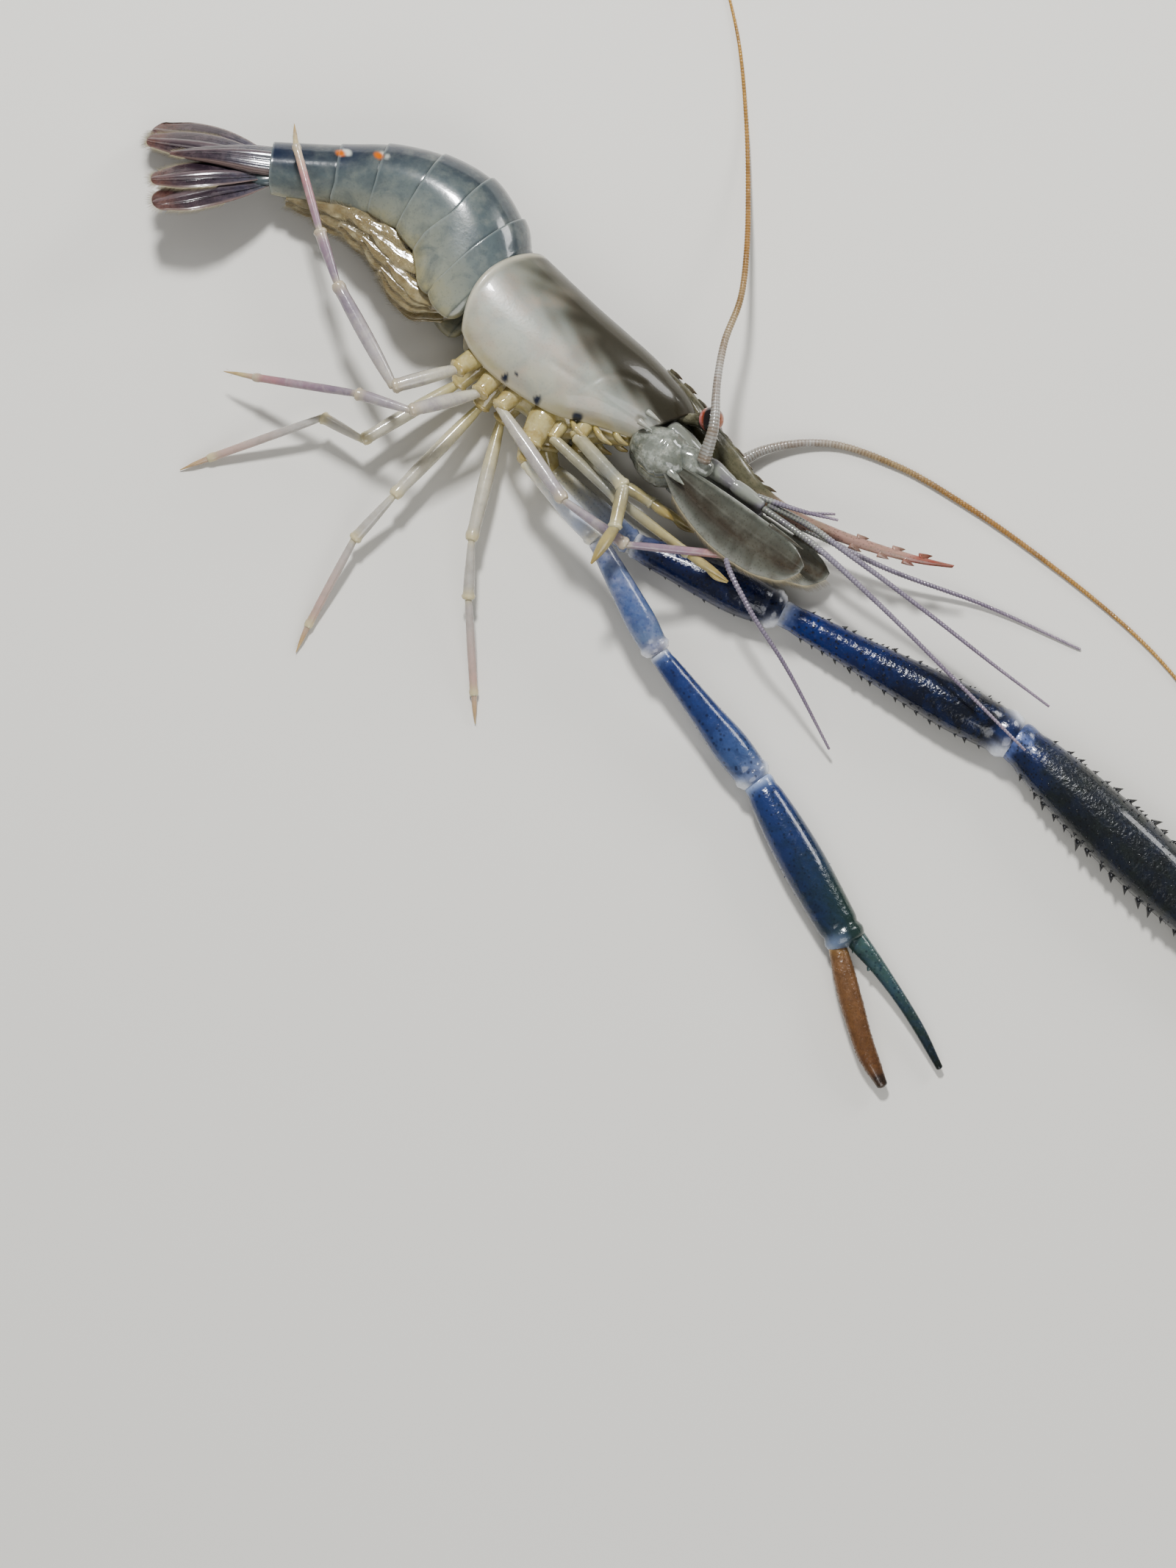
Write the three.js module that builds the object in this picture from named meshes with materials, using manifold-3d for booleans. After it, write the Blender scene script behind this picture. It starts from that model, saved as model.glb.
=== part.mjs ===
// Giant river prawn at life size, lying still on its left side.
// Millimetres. +X is the way the head points, +Y the back, +Z the right flank, which faces up.
// The floor is z = 0. Whatever dips under it is cut off in small flats at that level.
import * as THREE from 'three';
import Module from 'manifold-3d';

const kernel = await Module();
kernel.setup();
const { Manifold, Mesh } = kernel;

// Driving sizes.
const JOINT_GAP = 0.3;
const SECTION_SIDES = 8;
const CARAPACE_LENGTH = 58;
const CARAPACE_HALF_WIDTH = 15;
const MIDLINE_HEIGHT = 14.8;
const SOMITE_COUNT = 6;
const PLEOPOD_PAIRS = 5;
const TAIL_ROLL = 56;
const TELSON_LENGTH = 27;
const UROPOD_LENGTH = 31;
const BLADE_THICKNESS = 0.62;
const SCALE_LENGTH = 44;
const SCALE_WIDTH = 13.5;
const EYE_RADIUS = 3.3;
const FLAGELLUM_TIP = 0.34;
const DORSAL_TEETH = 11;
const VENTRAL_TEETH = 8;
const SPINE_ROOT = 0.6;

const DEGREE = Math.PI / 180;
const flanks = { right: 1, left: -1 };
const point = (x, y, z) => new THREE.Vector3(x, y, z);
const points = (rows) => rows.map((row) => point(...row));

// Colours of the animal, one for each kind of surface.
const COLOURS = {
  shell: 0xb9b8a6,
  abdomen: 0x8d9496,
  tail: 0x5d5360,
  rostrum: 0x6f6a52,
  underside: 0xc9bd8a,
  eye: 0x2a1c1a,
  antenna: 0x8f6a35,
  antennule: 0x9a9097,
  scale: 0x77776a,
  leg: 0xcfc6bd,
  rightArm: 0x3458a8,
  leftArm: 0x15254f,
  finger: 0x8a6238,
};

// A closed solid from points and three-cornered faces, turned so that its faces look outward.
function solidFrom(corners, faces) {
  const vertProperties = new Float32Array(corners.flatMap((corner) => corner.toArray()));
  const build = (rows) => new Manifold(
    new Mesh({ numProp: 3, vertProperties, triVerts: new Uint32Array(rows.flat()) }),
  );
  const solid = build(faces);
  return solid.volume() < 0 ? build(faces.map(([a, b, c]) => [a, c, b])) : solid;
}

// A skin laid over rings of points, closed by one point at each end.
function loft(rings, first, last) {
  const count = rings[0].length;
  const end = rings.length * count + 1;
  const faces = [];
  for (let k = 0; k < count; k += 1) {
    const next = (k + 1) % count;
    faces.push([0, 1 + next, 1 + k]);
    faces.push([end, end - count + k, end - count + next]);
    for (let ring = 0; ring < rings.length - 1; ring += 1) {
      const near = 1 + ring * count;
      const far = near + count;
      faces.push([near + k, near + next, far + next], [near + k, far + next, far + k]);
    }
  }
  return solidFrom([first, ...rings.flat(), last], faces);
}

// The same solid with its skin moved out by a distance, used to keep the joint gap to a neighbour.
function grown(solid, distance) {
  const { vertProperties, triVerts, numProp } = solid.getMesh();
  const corners = [];
  for (let k = 0; k < vertProperties.length; k += numProp) {
    corners.push(point(...vertProperties.subarray(k, k + 3)));
  }
  const around = corners.map(() => []);
  const faces = [];
  for (let k = 0; k < triVerts.length; k += 3) {
    const [a, b, c] = triVerts.subarray(k, k + 3);
    const normal = corners[b].clone().sub(corners[a]).cross(corners[c].clone().sub(corners[a]));
    faces.push([a, b, c]);
    [a, b, c].forEach((corner) => around[corner].push(normal));
  }
  const moved = corners.map((corner, k) => {
    const mean = around[k].reduce((sum, normal) => sum.add(normal), point(0, 0, 0)).normalize();
    const flat = around[k].filter((normal) => normal.length() > 1e-6);
    const least = Math.min(1, ...flat.map((normal) => mean.dot(normal.clone().normalize())));
    return corner.clone().addScaledVector(mean, distance / Math.max(least, 0.45));
  });
  return solidFrom(moved, faces);
}

// A smooth curve through a few points, sampled at even steps.
function curveThrough(path, steps) {
  if (path.length === 2) {
    return Array.from({ length: steps + 1 }, (_, k) => path[0].clone().lerp(path[1], k / steps));
  }
  return new THREE.CatmullRomCurve3(path, false, 'centripetal').getSpacedPoints(steps);
}

// Reads a list of numbers as an even line of values, at a place from 0 to 1.
function along(values, place) {
  const at = Math.min(Math.max(place, 0), 1) * (values.length - 1);
  const low = Math.min(Math.floor(at), values.length - 2);
  return values[low] + (values[low + 1] - values[low]) * (at - low);
}

// A rounded rod along a path. Widths run evenly from its root to its tip, depth is across them.
function rod(path, widths, options = {}) {
  const { depth = 1, sides = SECTION_SIDES, steps = widths.length - 1, up = point(0, 0, 1) } = options;
  const line = curveThrough(points(path), steps);
  const tangents = line.map((here, k) => {
    const before = line[Math.max(k - 1, 0)];
    const after = line[Math.min(k + 1, steps)];
    return after.clone().sub(before).normalize();
  });
  const rings = line.map((here, k) => {
    const side = tangents[k].clone().cross(up).normalize();
    const lift = side.clone().cross(tangents[k]);
    const width = along(widths, k / steps);
    return Array.from({ length: sides }, (_, n) => {
      const angle = ((n + 0.5) / sides) * 2 * Math.PI;
      return here.clone()
        .addScaledVector(side, Math.cos(angle) * width)
        .addScaledVector(lift, Math.sin(angle) * width * depth);
    });
  });
  const first = line[0].clone().addScaledVector(tangents[0], -0.4 * widths[0]);
  const last = line[steps].clone().addScaledVector(tangents[steps], 0.4 * widths[widths.length - 1]);
  return loft(rings, first, last);
}

// A spine with its root sunk in the surface.
function spine(root, direction, length, radius, sides = 5) {
  const way = direction.clone().normalize();
  const side = way.clone().cross(Math.abs(way.z) < 0.8 ? point(0, 0, 1) : point(1, 0, 0)).normalize();
  const other = way.clone().cross(side);
  const ring = Array.from({ length: sides }, (_, n) => {
    const angle = (n / sides) * 2 * Math.PI;
    return root.clone()
      .addScaledVector(side, Math.cos(angle) * radius)
      .addScaledVector(other, Math.sin(angle) * radius);
  });
  const sunk = root.clone().addScaledVector(way, -SPINE_ROOT);
  return loft([ring], sunk, root.clone().addScaledVector(way, length));
}

// Rows of spines along a straight rod, leaning towards its tip.
function spineRows(path, radius, rows, perRow, length) {
  const [root, tip] = points([path[0], path[path.length - 1]]);
  const axis = tip.clone().sub(root).normalize();
  const side = axis.clone().cross(point(0, 0, 1)).normalize();
  const lift = side.clone().cross(axis);
  const spines = [];
  rows.forEach((degrees, row) => {
    for (let k = 0; k < perRow; k += 1) {
      const place = (k + 0.75 + 0.25 * (row % 2)) / (perRow + 0.5);
      const angle = degrees * DEGREE;
      const out = side.clone().multiplyScalar(Math.cos(angle)).addScaledVector(lift, Math.sin(angle));
      const foot = root.clone().lerp(tip, place).addScaledVector(out, along(radius, place) * 0.9);
      const size = length * (0.8 + 0.2 * ((k + row) % 3));
      spines.push(spine(foot, out.addScaledVector(axis, 0.7), size, size * 0.32));
    }
  });
  return spines;
}

const largest = (solid) => solid.decompose().reduce((a, b) => (a.volume() > b.volume() ? a : b));
const joined = (...solids) => largest(Manifold.union(solids.flat()));

// True where every edge, to a ten-thousandth of a millimetre, is shared by two faces and no more.
function hasPlainEdges(solid) {
  const { vertProperties, triVerts, numProp } = solid.getMesh();
  const names = Array.from({ length: vertProperties.length / numProp }, (_, k) => (
    Array.from(vertProperties.subarray(k * numProp, k * numProp + 3), (value) => value.toFixed(4)).join()));
  const shared = new Map();
  for (let k = 0; k < triVerts.length; k += 3) {
    [[0, 1], [1, 2], [2, 0]].forEach(([a, b]) => {
      const edge = [names[triVerts[k + a]], names[triVerts[k + b]]].sort().join();
      shared.set(edge, (shared.get(edge) ?? 0) + 1);
    });
  }
  return [...shared.values()].every((faces) => faces === 2);
}

// Drops slivers. The first tolerance that leaves plain edges is kept.
const TOLERANCES = [0.02, 0.03, 0.045, 0.06, 0.08, 0.1];
const tidied = (solid) => {
  const tries = TOLERANCES.map((tolerance) => largest(solid.simplify(tolerance)));
  return tries.find(hasPlainEdges) ?? tries[0];
};

// A body section, given by how far it reaches up, down and sideways. Each row of the half outline
// is a height from 1 at the back to -1 at the lower edge, and a share of the half width.
const CARAPACE_OUTLINE = [
  [1, 0], [0.94, 0.32], [0.76, 0.62], [0.46, 0.84], [0.08, 0.97], [-0.3, 1],
  [-0.62, 0.94], [-0.86, 0.8], [-1, 0.6], [-0.93, 0.44], [-0.78, 0],
];
const SOMITE_OUTLINE = [
  [1, 0], [0.93, 0.38], [0.7, 0.72], [0.3, 0.95], [-0.2, 1], [-0.66, 0.93], [-1, 0.74],
  [-0.9, 0.58], [-0.5, 0.42], [-0.42, 0],
];

function section(outline, place) {
  const { centre, up, side, halfDepth, halfWidth, shear } = place;
  const right = outline.map(([height, share]) => centre.clone()
    .addScaledVector(up, height * halfDepth)
    .addScaledVector(side, share * halfWidth)
    .add(shear(height)));
  const left = outline.slice(1, -1).reverse().map(([height, share]) => centre.clone()
    .addScaledVector(up, height * halfDepth)
    .addScaledVector(side, -share * halfWidth)
    .add(shear(height)));
  return [...right, ...left];
}

const middle = (ring) => ring.reduce((sum, corner) => sum.add(corner), point(0, 0, 0))
  .divideScalar(ring.length);

// Carapace: station along X, back, lower edge, share of the half width, and how its margin leans.
const CARAPACE_STATIONS = [
  [57.5, 8.4, -8.2, 0.46, 0.5], [54.5, 9.8, -9.8, 0.56, 0.45], [48, 11.4, -12.2, 0.72, 0.32],
  [40, 12.6, -14.6, 0.86, 0.16], [30, 13.1, -17.4, 0.96, 0], [20, 13.5, -19.3, 1, 0],
  [10, 14.2, -19.4, 1, 0], [3, 14.8, -17.4, 0.97, 0], [0, 15, -15.6, 0.94, 0],
];
const MARGIN_BULGE = 7;

function carapace() {
  const rings = CARAPACE_STATIONS.map(([x, back, lower, share, lean]) => {
    const halfDepth = (back - lower) / 2;
    const bulge = MARGIN_BULGE * Math.max(0, 1 - x / (0.5 * CARAPACE_LENGTH));
    return section(CARAPACE_OUTLINE, {
      centre: point(x, (back + lower) / 2, MIDLINE_HEIGHT),
      up: point(0, 1, 0),
      side: point(0, 0, 1),
      halfDepth,
      halfWidth: CARAPACE_HALF_WIDTH * share,
      shear: (height) => point(
        -lean * (1 - height) * halfDepth - bulge * (1 - (0.9 * height + 0.1) ** 2),
        0,
        0,
      ),
    });
  });
  const spines = [1, -1].map((flank) => spine(
    point(52, -1.5, MIDLINE_HEIGHT + flank * 8.2),
    point(1, 0, 0.3 * flank),
    3.2,
    0.9,
  ));
  return joined(loft(rings, middle(rings[0]), middle(rings[rings.length - 1])), spines);
}

// Rostrum: a deep thin blade over the eyes that dips, then rises to its tip.
const ROSTRUM_BLADE = [
  [44, 11.2, 1.6, 1.6], [53, 9.4, 2.6, 1.9], [62, 6.2, 3.6, 1.7], [72, 3.6, 4.1, 1.4],
  [82, 1.9, 3.2, 1.2], [92, 3, 2.1, 1.05], [104, 6.4, 1.7, 0.95], [118, 11.7, 1.4, 0.8],
  [128, 16.4, 1, 0.65], [134, 19.8, 0.5, 0.45],
];

function rostrum() {
  const rings = ROSTRUM_BLADE.map(([x, y, deep, thick]) => [
    [0, deep], [0.8, 0.35 * deep], [1, -0.1 * deep], [0.55, -0.7 * deep], [0, -deep],
    [-0.55, -0.7 * deep], [-1, -0.1 * deep], [-0.8, 0.35 * deep],
  ].map(([share, height]) => point(x, y + height, MIDLINE_HEIGHT + share * thick)));
  const line = new THREE.CatmullRomCurve3(points(ROSTRUM_BLADE.map(([x, y]) => [x, y, 0])));
  const teeth = [];
  const tooth = (place, flank, length) => {
    const at = line.getPointAt(place);
    const way = line.getTangentAt(place);
    const normal = point(-way.y, way.x, 0).multiplyScalar(flank);
    const deep = ROSTRUM_BLADE.reduce((best, row) => (
      Math.abs(row[0] - at.x) < Math.abs(best[0] - at.x) ? row : best))[2];
    const root = point(at.x, at.y, MIDLINE_HEIGHT).addScaledVector(normal, deep * 0.8);
    teeth.push(spine(root, normal.addScaledVector(way, 1.3), length, length * 0.28, 4));
  };
  for (let k = 0; k < DORSAL_TEETH; k += 1) {
    const near = k < DORSAL_TEETH - 3;
    tooth(near ? 0.06 + 0.054 * k : 0.42 + 0.17 * (k - DORSAL_TEETH + 3.5), 1, near ? 3.2 : 2.2);
  }
  for (let k = 0; k < VENTRAL_TEETH; k += 1) {
    tooth(0.4 + (0.52 * k) / VENTRAL_TEETH, -1, 2.4);
  }
  return joined(loft(rings, middle(rings[0]), middle(rings[rings.length - 1])), teeth);
}

// Abdomen: the joints between its somites, from the carapace to the telson. Each row is the middle
// of the joint, half its depth and half its width, the height of the midline, and the roll.
const ABDOMEN_JOINTS = [
  [-5, -0.4, 15.2, 13.2, 14.6, 0],
  [-13, 3.4, 15.6, 13.8, 14.2, 2],
  [-23.4, 8.2, 14.2, 13.4, 13.8, 5],
  [-35.3, 8.4, 11.6, 12, 13.2, 11],
  [-47, 4.8, 9, 10.2, 12.4, 20],
  [-56.6, -0.8, 7, 8.4, 11.6, 32],
  [-71.4, -10.8, 5.6, 6.8, 11.4, 46],
];
const JOINT_WAYS = [4, 12, 2, -8, -24, -32, -34];
const PLEURON_REACH = [0.1, 0.16, 0.1, 0.08, 0.1, 0.06];

// Where the abdomen is at a joint number that may fall between two joints.
function abdomenPlace(joint) {
  const place = joint / SOMITE_COUNT;
  const [x, y, halfDepth, halfWidth, height, roll] = [0, 1, 2, 3, 4, 5]
    .map((column) => along(ABDOMEN_JOINTS.map((row) => row[column]), place));
  const way = along(JOINT_WAYS, place) * DEGREE;
  const forward = point(Math.cos(way), -Math.sin(way), 0);
  const back = point(Math.sin(way), Math.cos(way), 0);
  const turn = roll * DEGREE;
  const up = back.clone().multiplyScalar(Math.cos(turn)).addScaledVector(point(0, 0, 1), Math.sin(turn));
  const side = forward.clone().cross(up).normalize();
  return { centre: point(x, y, height), forward, up, side, halfDepth, halfWidth };
}

// A swimming leg: a stem and two blades that lie back under the tail.
function pleopod(place, flank, reach) {
  const { centre, forward, up, side, halfDepth, halfWidth } = place;
  const at = (down, out, back) => centre.clone()
    .addScaledVector(up, -halfDepth * down)
    .addScaledVector(side, flank * halfWidth * out)
    .addScaledVector(forward, -back);
  const depth = Math.min(1, 2.4 / halfWidth);
  const stem = [at(0.3, 0.34, -1), at(0.85, 0.42, 1), at(0.85 + reach * 0.5, 0.44, 3)];
  const blade = [at(0.8 + reach * 0.4, 0.4, 3), at(1 + reach * 0.8, 0.36, 8), at(1 + reach, 0.3, 14)];
  const rows = (path) => path.map((corner) => corner.toArray());
  return [
    rod(rows(stem), [2.6, 2.3, 1.9], { sides: 6, depth: 0.7, up: side }),
    rod(rows(blade), [1.6, 2.8, 2.6, 1.1], { sides: 6, depth: depth + 0.2, up: side }),
  ];
}

function somite(number) {
  const rings = [];
  const steps = 4;
  for (let step = 0; step <= steps; step += 1) {
    const u = step / steps;
    const place = abdomenPlace(number - 1 + u);
    const lobe = Math.sqrt(Math.max(0, 1 - (1.75 * (u - 0.5)) ** 2));
    const reach = PLEURON_REACH[number - 1] * lobe - 0.1 * (1 - lobe);
    const flare = 1 + 0.05 * u;
    rings.push(section(
      SOMITE_OUTLINE.map(([height, share]) => [height < -0.6 ? height - reach : height, share]),
      {
        ...place,
        halfDepth: place.halfDepth * flare,
        halfWidth: place.halfWidth * flare,
        shear: () => point(0, 0, 0),
      },
    ));
  }
  const shell = loft(rings, middle(rings[0]), middle(rings[steps]));
  if (number > PLEOPOD_PAIRS) {
    return shell;
  }
  const place = abdomenPlace(number - 0.55);
  const reach = [0.4, 0.5, 0.7, 0.85, 0.6][number - 1];
  return joined(shell, pleopod(place, 1, reach), pleopod(place, -1, reach));
}

// Tail fan: flat blades that spread from the end of the last somite.
const FAN = (() => {
  const { centre, forward, up, side, halfDepth, halfWidth } = abdomenPlace(SOMITE_COUNT);
  const turn = (TAIL_ROLL - ABDOMEN_JOINTS[SOMITE_COUNT][5]) * DEGREE;
  return {
    centre,
    rear: forward.clone().negate(),
    up: up.clone().applyAxisAngle(forward, turn),
    side: side.clone().applyAxisAngle(forward, turn),
    halfDepth,
    halfWidth,
  };
})();

const fanPoint = (rear, out, lift) => FAN.centre.clone()
  .addScaledVector(FAN.rear, rear)
  .addScaledVector(FAN.side, out)
  .addScaledVector(FAN.up, lift);

function blade(path, widths, thickness, up) {
  return rod(path.map((corner) => corner.toArray()), widths, {
    depth: thickness / Math.max(...widths), sides: 8, up,
  });
}

function telson() {
  const trunk = [0.015, 0.5, 1].map((share, k) => fanPoint(TELSON_LENGTH * share, 0, [1.2, 1.6, 0.6][k]));
  return blade(trunk, [5.2, 4.9, 4.1, 3.1, 2.2, 0.8], 2.6, FAN.up);
}

// The blades on the upper flank are folded closer and look shorter, as they lie in the photo.
const FAN_BLADES = {
  outer: {
    root: 4.6,
    lift: -2.2,
    widths: [1.8, 4.2, 5.8, 6.4, 6, 3.2],
    spread: { right: 22, left: 15 },
    share: { right: 0.88, left: 0.98 },
  },
  inner: {
    root: 3.2,
    lift: -0.7,
    widths: [1.6, 3.2, 4.5, 4.9, 4.4, 2.1],
    spread: { right: 10, left: 7 },
    share: { right: 0.9, left: 1 },
  },
};

function uropod(side, kind) {
  const { root, lift, widths, spread, share } = FAN_BLADES[kind];
  const turn = spread[side] * DEGREE;
  const length = UROPOD_LENGTH * share[side];
  const at = (place, droop) => fanPoint(
    1.6 + length * place * Math.cos(turn),
    flanks[side] * (root + length * place * Math.sin(turn)),
    lift + droop,
  );
  return blade([at(0, 0), at(0.5, 0.4), at(1, -0.8)], widths, BLADE_THICKNESS, FAN.up);
}

// Head: eyes on stalks, antennules, antennae with their scales.
function eye(flank) {
  const z = (out) => MIDLINE_HEIGHT + flank * out;
  const stalk = rod([[55, 4.6, z(2.6)], [58.4, 6, z(4.2)], [61, 7.4, z(5.8)]], [1.8, 1.7, 2.2]);
  const ball = new THREE.SphereGeometry(EYE_RADIUS, 12, 8);
  const { position } = ball.attributes;
  const rings = [];
  for (let row = 1; row < 8; row += 1) {
    const ring = [];
    for (let k = 0; k < 12; k += 1) {
      const corner = point(0, 0, 0).fromBufferAttribute(position, row * 13 + k);
      ring.push(corner.add(point(62, 8.2, z(6.9))));
    }
    rings.push(ring);
  }
  const poles = [EYE_RADIUS, -EYE_RADIUS].map((y) => point(62, 8.2 + y, z(6.9)));
  return joined(stalk, loft(rings, ...poles));
}

function antennule(flank) {
  const z = (out) => MIDLINE_HEIGHT + flank * out;
  const peduncle = rod(
    [[56, -0.4, z(4.6)], [68, -1, z(4.8)], [76, -1, z(4.6)], [86, -0.4, z(4.4)]],
    [3, 3.2, 2.4, 2.5, 1.9, 2, 1.5],
  );
  const short = flank > 0
    ? [[84, 0.6, z(4.8)], [96, 5, 21], [104, 8.6, 22]]
    : [[84, 0.6, z(4.8)], [94, 6.4, 10], [101, 12, 9]];
  return joined(peduncle, rod(short, [0.85, 0.6, FLAGELLUM_TIP], { sides: 5, steps: 5 }));
}

// The two long threads of each antennule.
const ANTENNULE_THREADS = {
  right: {
    inner: [
      [87.6, 0.9, 19.2], [98, 3.4, 18], [112.8, 4.6, 17], [136, 6, 15], [160, 6.8, 13.4], [176, 7.6, 12.6],
    ],
    outer: [[87.4, -0.8, 19.4], [101.7, 0, 20], [126, -1, 18.6], [152, -3.4, 17.6], [178.8, -6.2, 17.4]],
  },
  left: {
    inner: [[87.6, 0.9, 10.2], [98, 4, 9], [120, 10, 6], [146, 20, 1.4], [172, 27, 0.5]],
    outer: [
      [87, -2.6, 10.6], [86, -9.5, 13.8], [88, -17, 20.2], [100, -23, 18.8], [117, -28, 13.6], [139, -36, 4],
    ],
  },
};

const THREAD_WIDTHS = [0.95, 0.78, 0.62, 0.5, FLAGELLUM_TIP];

const antennuleThread = (side, kind) => (
  rod(ANTENNULE_THREADS[side][kind], THREAD_WIDTHS, { sides: 5, steps: 13 }));

function antennaBase(flank) {
  const z = (out) => MIDLINE_HEIGHT + flank * out;
  const globe = [[51.5, -6.6, z(3.4)], [57.5, -6.2, z(5)], [63, -5.4, z(6.2)]];
  const neck = [[61, -4.4, z(7)], [65.5, -3.4, z(8)], [70, -3, z(8.2)]];
  return joined(
    rod(globe, [4.8, 6.4, 6.6, 5], { depth: 0.86 }),
    rod(neck, [3, 3.5, 3.3, 2.2], { depth: 0.8 }),
  );
}

// The long feelers, each in lengths that follow one another from its base to its tip.
const ANTENNAE = {
  right: {
    near: [[68, -2.2, 26], [65, 5, 28.6], [58, 15, 27.6], [51.8, 25.6, 23.4], [46.4, 39, 16.4]],
    far: [
      [46, 40, 15.9], [38, 52, 9.6], [27.6, 65.3, 4.2], [14, 81, 1.1], [-2.3, 97.3, 0.6], [-16, 108, 0.5],
    ],
  },
  left: {
    near: [[71, 0.6, 5.6], [73.4, 7, 4.6], [77.4, 17.4, 2.9], [83.2, 24.4, 1.7]],
    middle: [[84, 25.1, 1.6], [92, 30.2, 1.2], [104, 34, 0.9], [124, 37.4, 0.8]],
    far: [[125, 37.6, 0.8], [152, 39.4, 0.7], [188, 38.4, 0.6], [214, 33, 0.5]],
  },
};
const ANTENNA_WIDTHS = {
  right: { near: [1.7, 1.15, 0.9, 0.8], far: [0.8, 0.65, 0.5, FLAGELLUM_TIP] },
  left: { near: [1.7, 1.15, 1], middle: [1, 0.9, 0.8], far: [0.8, 0.65, 0.5, FLAGELLUM_TIP] },
};

const antennaLength = (side, part) => (
  rod(ANTENNAE[side][part], ANTENNA_WIDTHS[side][part], { sides: 6, steps: side === 'left' ? 7 : 9 }));

// The scale beside each antenna: straight outer margin with a spine, rounded inner margin.
// Each row is a place along it and its two margins, as shares of its length and width.
const SCALE_ROWS = [
  [0, 0.2, 0.1], [0.12, 0.26, 0.34], [0.35, 0.3, 0.62], [0.62, 0.3, 0.72], [0.84, 0.26, 0.6],
  [0.96, 0.12, 0.36],
];

function scale(flank) {
  const right = flank > 0;
  const root = right ? point(61.5, -9.6, 22.6) : point(66, -5.4, 6.4);
  const way = (right ? point(1, 0.06, 0.03) : point(1, 0.11, -0.02)).normalize();
  const face = point(-0.02, -0.26 * flank, 1).normalize();
  const across = way.clone().cross(face).normalize();
  const length = SCALE_LENGTH;
  const rings = SCALE_ROWS.map(([place, outer, inner]) => {
    const at = root.clone().addScaledVector(way, length * place);
    const thick = 0.75 - 0.3 * place;
    return [
      [-outer * 1.02, 0], [-outer * 0.9, 1.5], [0, 1], [inner * 0.8, 0.6], [inner, 0],
      [inner * 0.8, -0.6], [0, -1], [-outer * 0.9, -1.5],
    ].map(([share, lift]) => at.clone()
      .addScaledVector(across, share * SCALE_WIDTH)
      .addScaledVector(face, lift * thick));
  });
  const last = root.clone().addScaledVector(way, length).addScaledVector(across, 1.6);
  const spike = root.clone()
    .addScaledVector(way, length * 0.8)
    .addScaledVector(across, -0.26 * SCALE_WIDTH);
  return joined(loft(rings, middle(rings[0]), last), spine(spike, way, 6, 0.8));
}

// Under the thorax: the mouth field and a row of hips on each side.
const HIPS = { maxilliped: 37, first: 32.5, second: 27, third: 18.5, fourth: 11.5, fifth: 5 };

function thoraxUnderside(limbRoots) {
  const keel = rod(
    [[-1, -10.5], [14, -15.4], [32, -14.5], [47, -8]].map((row) => [...row, MIDLINE_HEIGHT]),
    [4.5, 6.4, 7.4, 7.8, 7.4, 6, 4],
    { depth: 0.66, up: point(0, 1, 0.001), steps: 8 },
  );
  const hips = limbRoots.map(({ hip, root, width }) => (
    rod([hip, root], [width * 1.25, width * 1.1, width])));
  return joined(keel, hips);
}

// Limbs: the hip inside the underside, then the joints in order.
const LIMBS = {
  right_arm: {
    width: 2.7,
    joints: [
      [30, -27, 20.2], [32, -30.5, 20.4], [59.3, -34.6, 17.8], [89.7, -46.3, 11.6], [130.3, -54.8, 6.4],
      [174.4, -71.9, 5],
    ],
  },
  left_arm: {
    width: 3.2,
    joints: [
      [32, -23.5, 9.4], [36, -26.5, 7.4], [65.5, -27.4, 5.6], [106.6, -16.4, 5.6], [174.4, -3.4, 6.4],
      [250, -9, 7.4],
    ],
  },
};
// Widths of the ischium, merus, carpus and palm in order, then the width of a finger's root.
const ARM_WIDTHS = {
  right_arm: [
    [2.3, 2.6, 2.9, 2.5], [2.5, 3.1, 3.6, 4, 3.1], [2.9, 3.5, 4.2, 4.8, 3.8], [4, 5.5, 6, 5.8, 5.2], 3,
  ],
  left_arm: [
    [2.8, 3.3, 3.7, 3.2], [3.4, 4.4, 5.4, 5.9, 4.4], [4.3, 5.6, 6.4, 6.8, 5.2], [5.6, 8, 8.8, 8.4, 7], 4.2,
  ],
};
// Rows of spines, as degrees round the limb, how many stand in each row and how long they are.
const ARM_SPINES = {
  right_arm: { rows: [30, 150], palmRows: [30, 150], counts: [0, 4, 6, 6], length: 0.9, palmLength: 0.9 },
  left_arm: {
    rows: [20, 100, 170], palmRows: [15, 65, 115, 165], counts: [0, 5, 7, 8], length: 1.5, palmLength: 1.9,
  },
};

function armPart(name, part) {
  const { joints } = LIMBS[name];
  const { rows, counts, length } = ARM_SPINES[name];
  const widths = ARM_WIDTHS[name][part];
  const path = [joints[part + 1], joints[part + 2]];
  const solid = rod(path, widths, { depth: 0.95 });
  return part === 0 ? solid : joined(solid, spineRows(path, widths, rows, counts[part], length));
}

// The claw: a palm with its fixed finger, and the finger that closes on it.
const CLAWS = {
  right_arm: {
    fixed: [[170, -68.5, 4.9], [188, -71.5, 4.2], [203, -76, 3.2], [213.5, -81.6, 2.2]],
    moving: [[173.2, -74.4, 5.2], [187, -84.5, 5], [197, -91, 4.2], [205, -94.6, 3.2]],
    closing: point(0.25, -0.97, 0),
  },
  left_arm: {
    fixed: [[243, -13, 6.8], [266, -18.5, 5.6], [288, -20, 4], [307, -17.4, 2.4]],
    moving: [[249, -5, 7.4], [268, 0.5, 6.6], [287, -1.6, 5], [304, -8.8, 3]],
    closing: point(0.1, 0.99, 0),
  },
};

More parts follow.
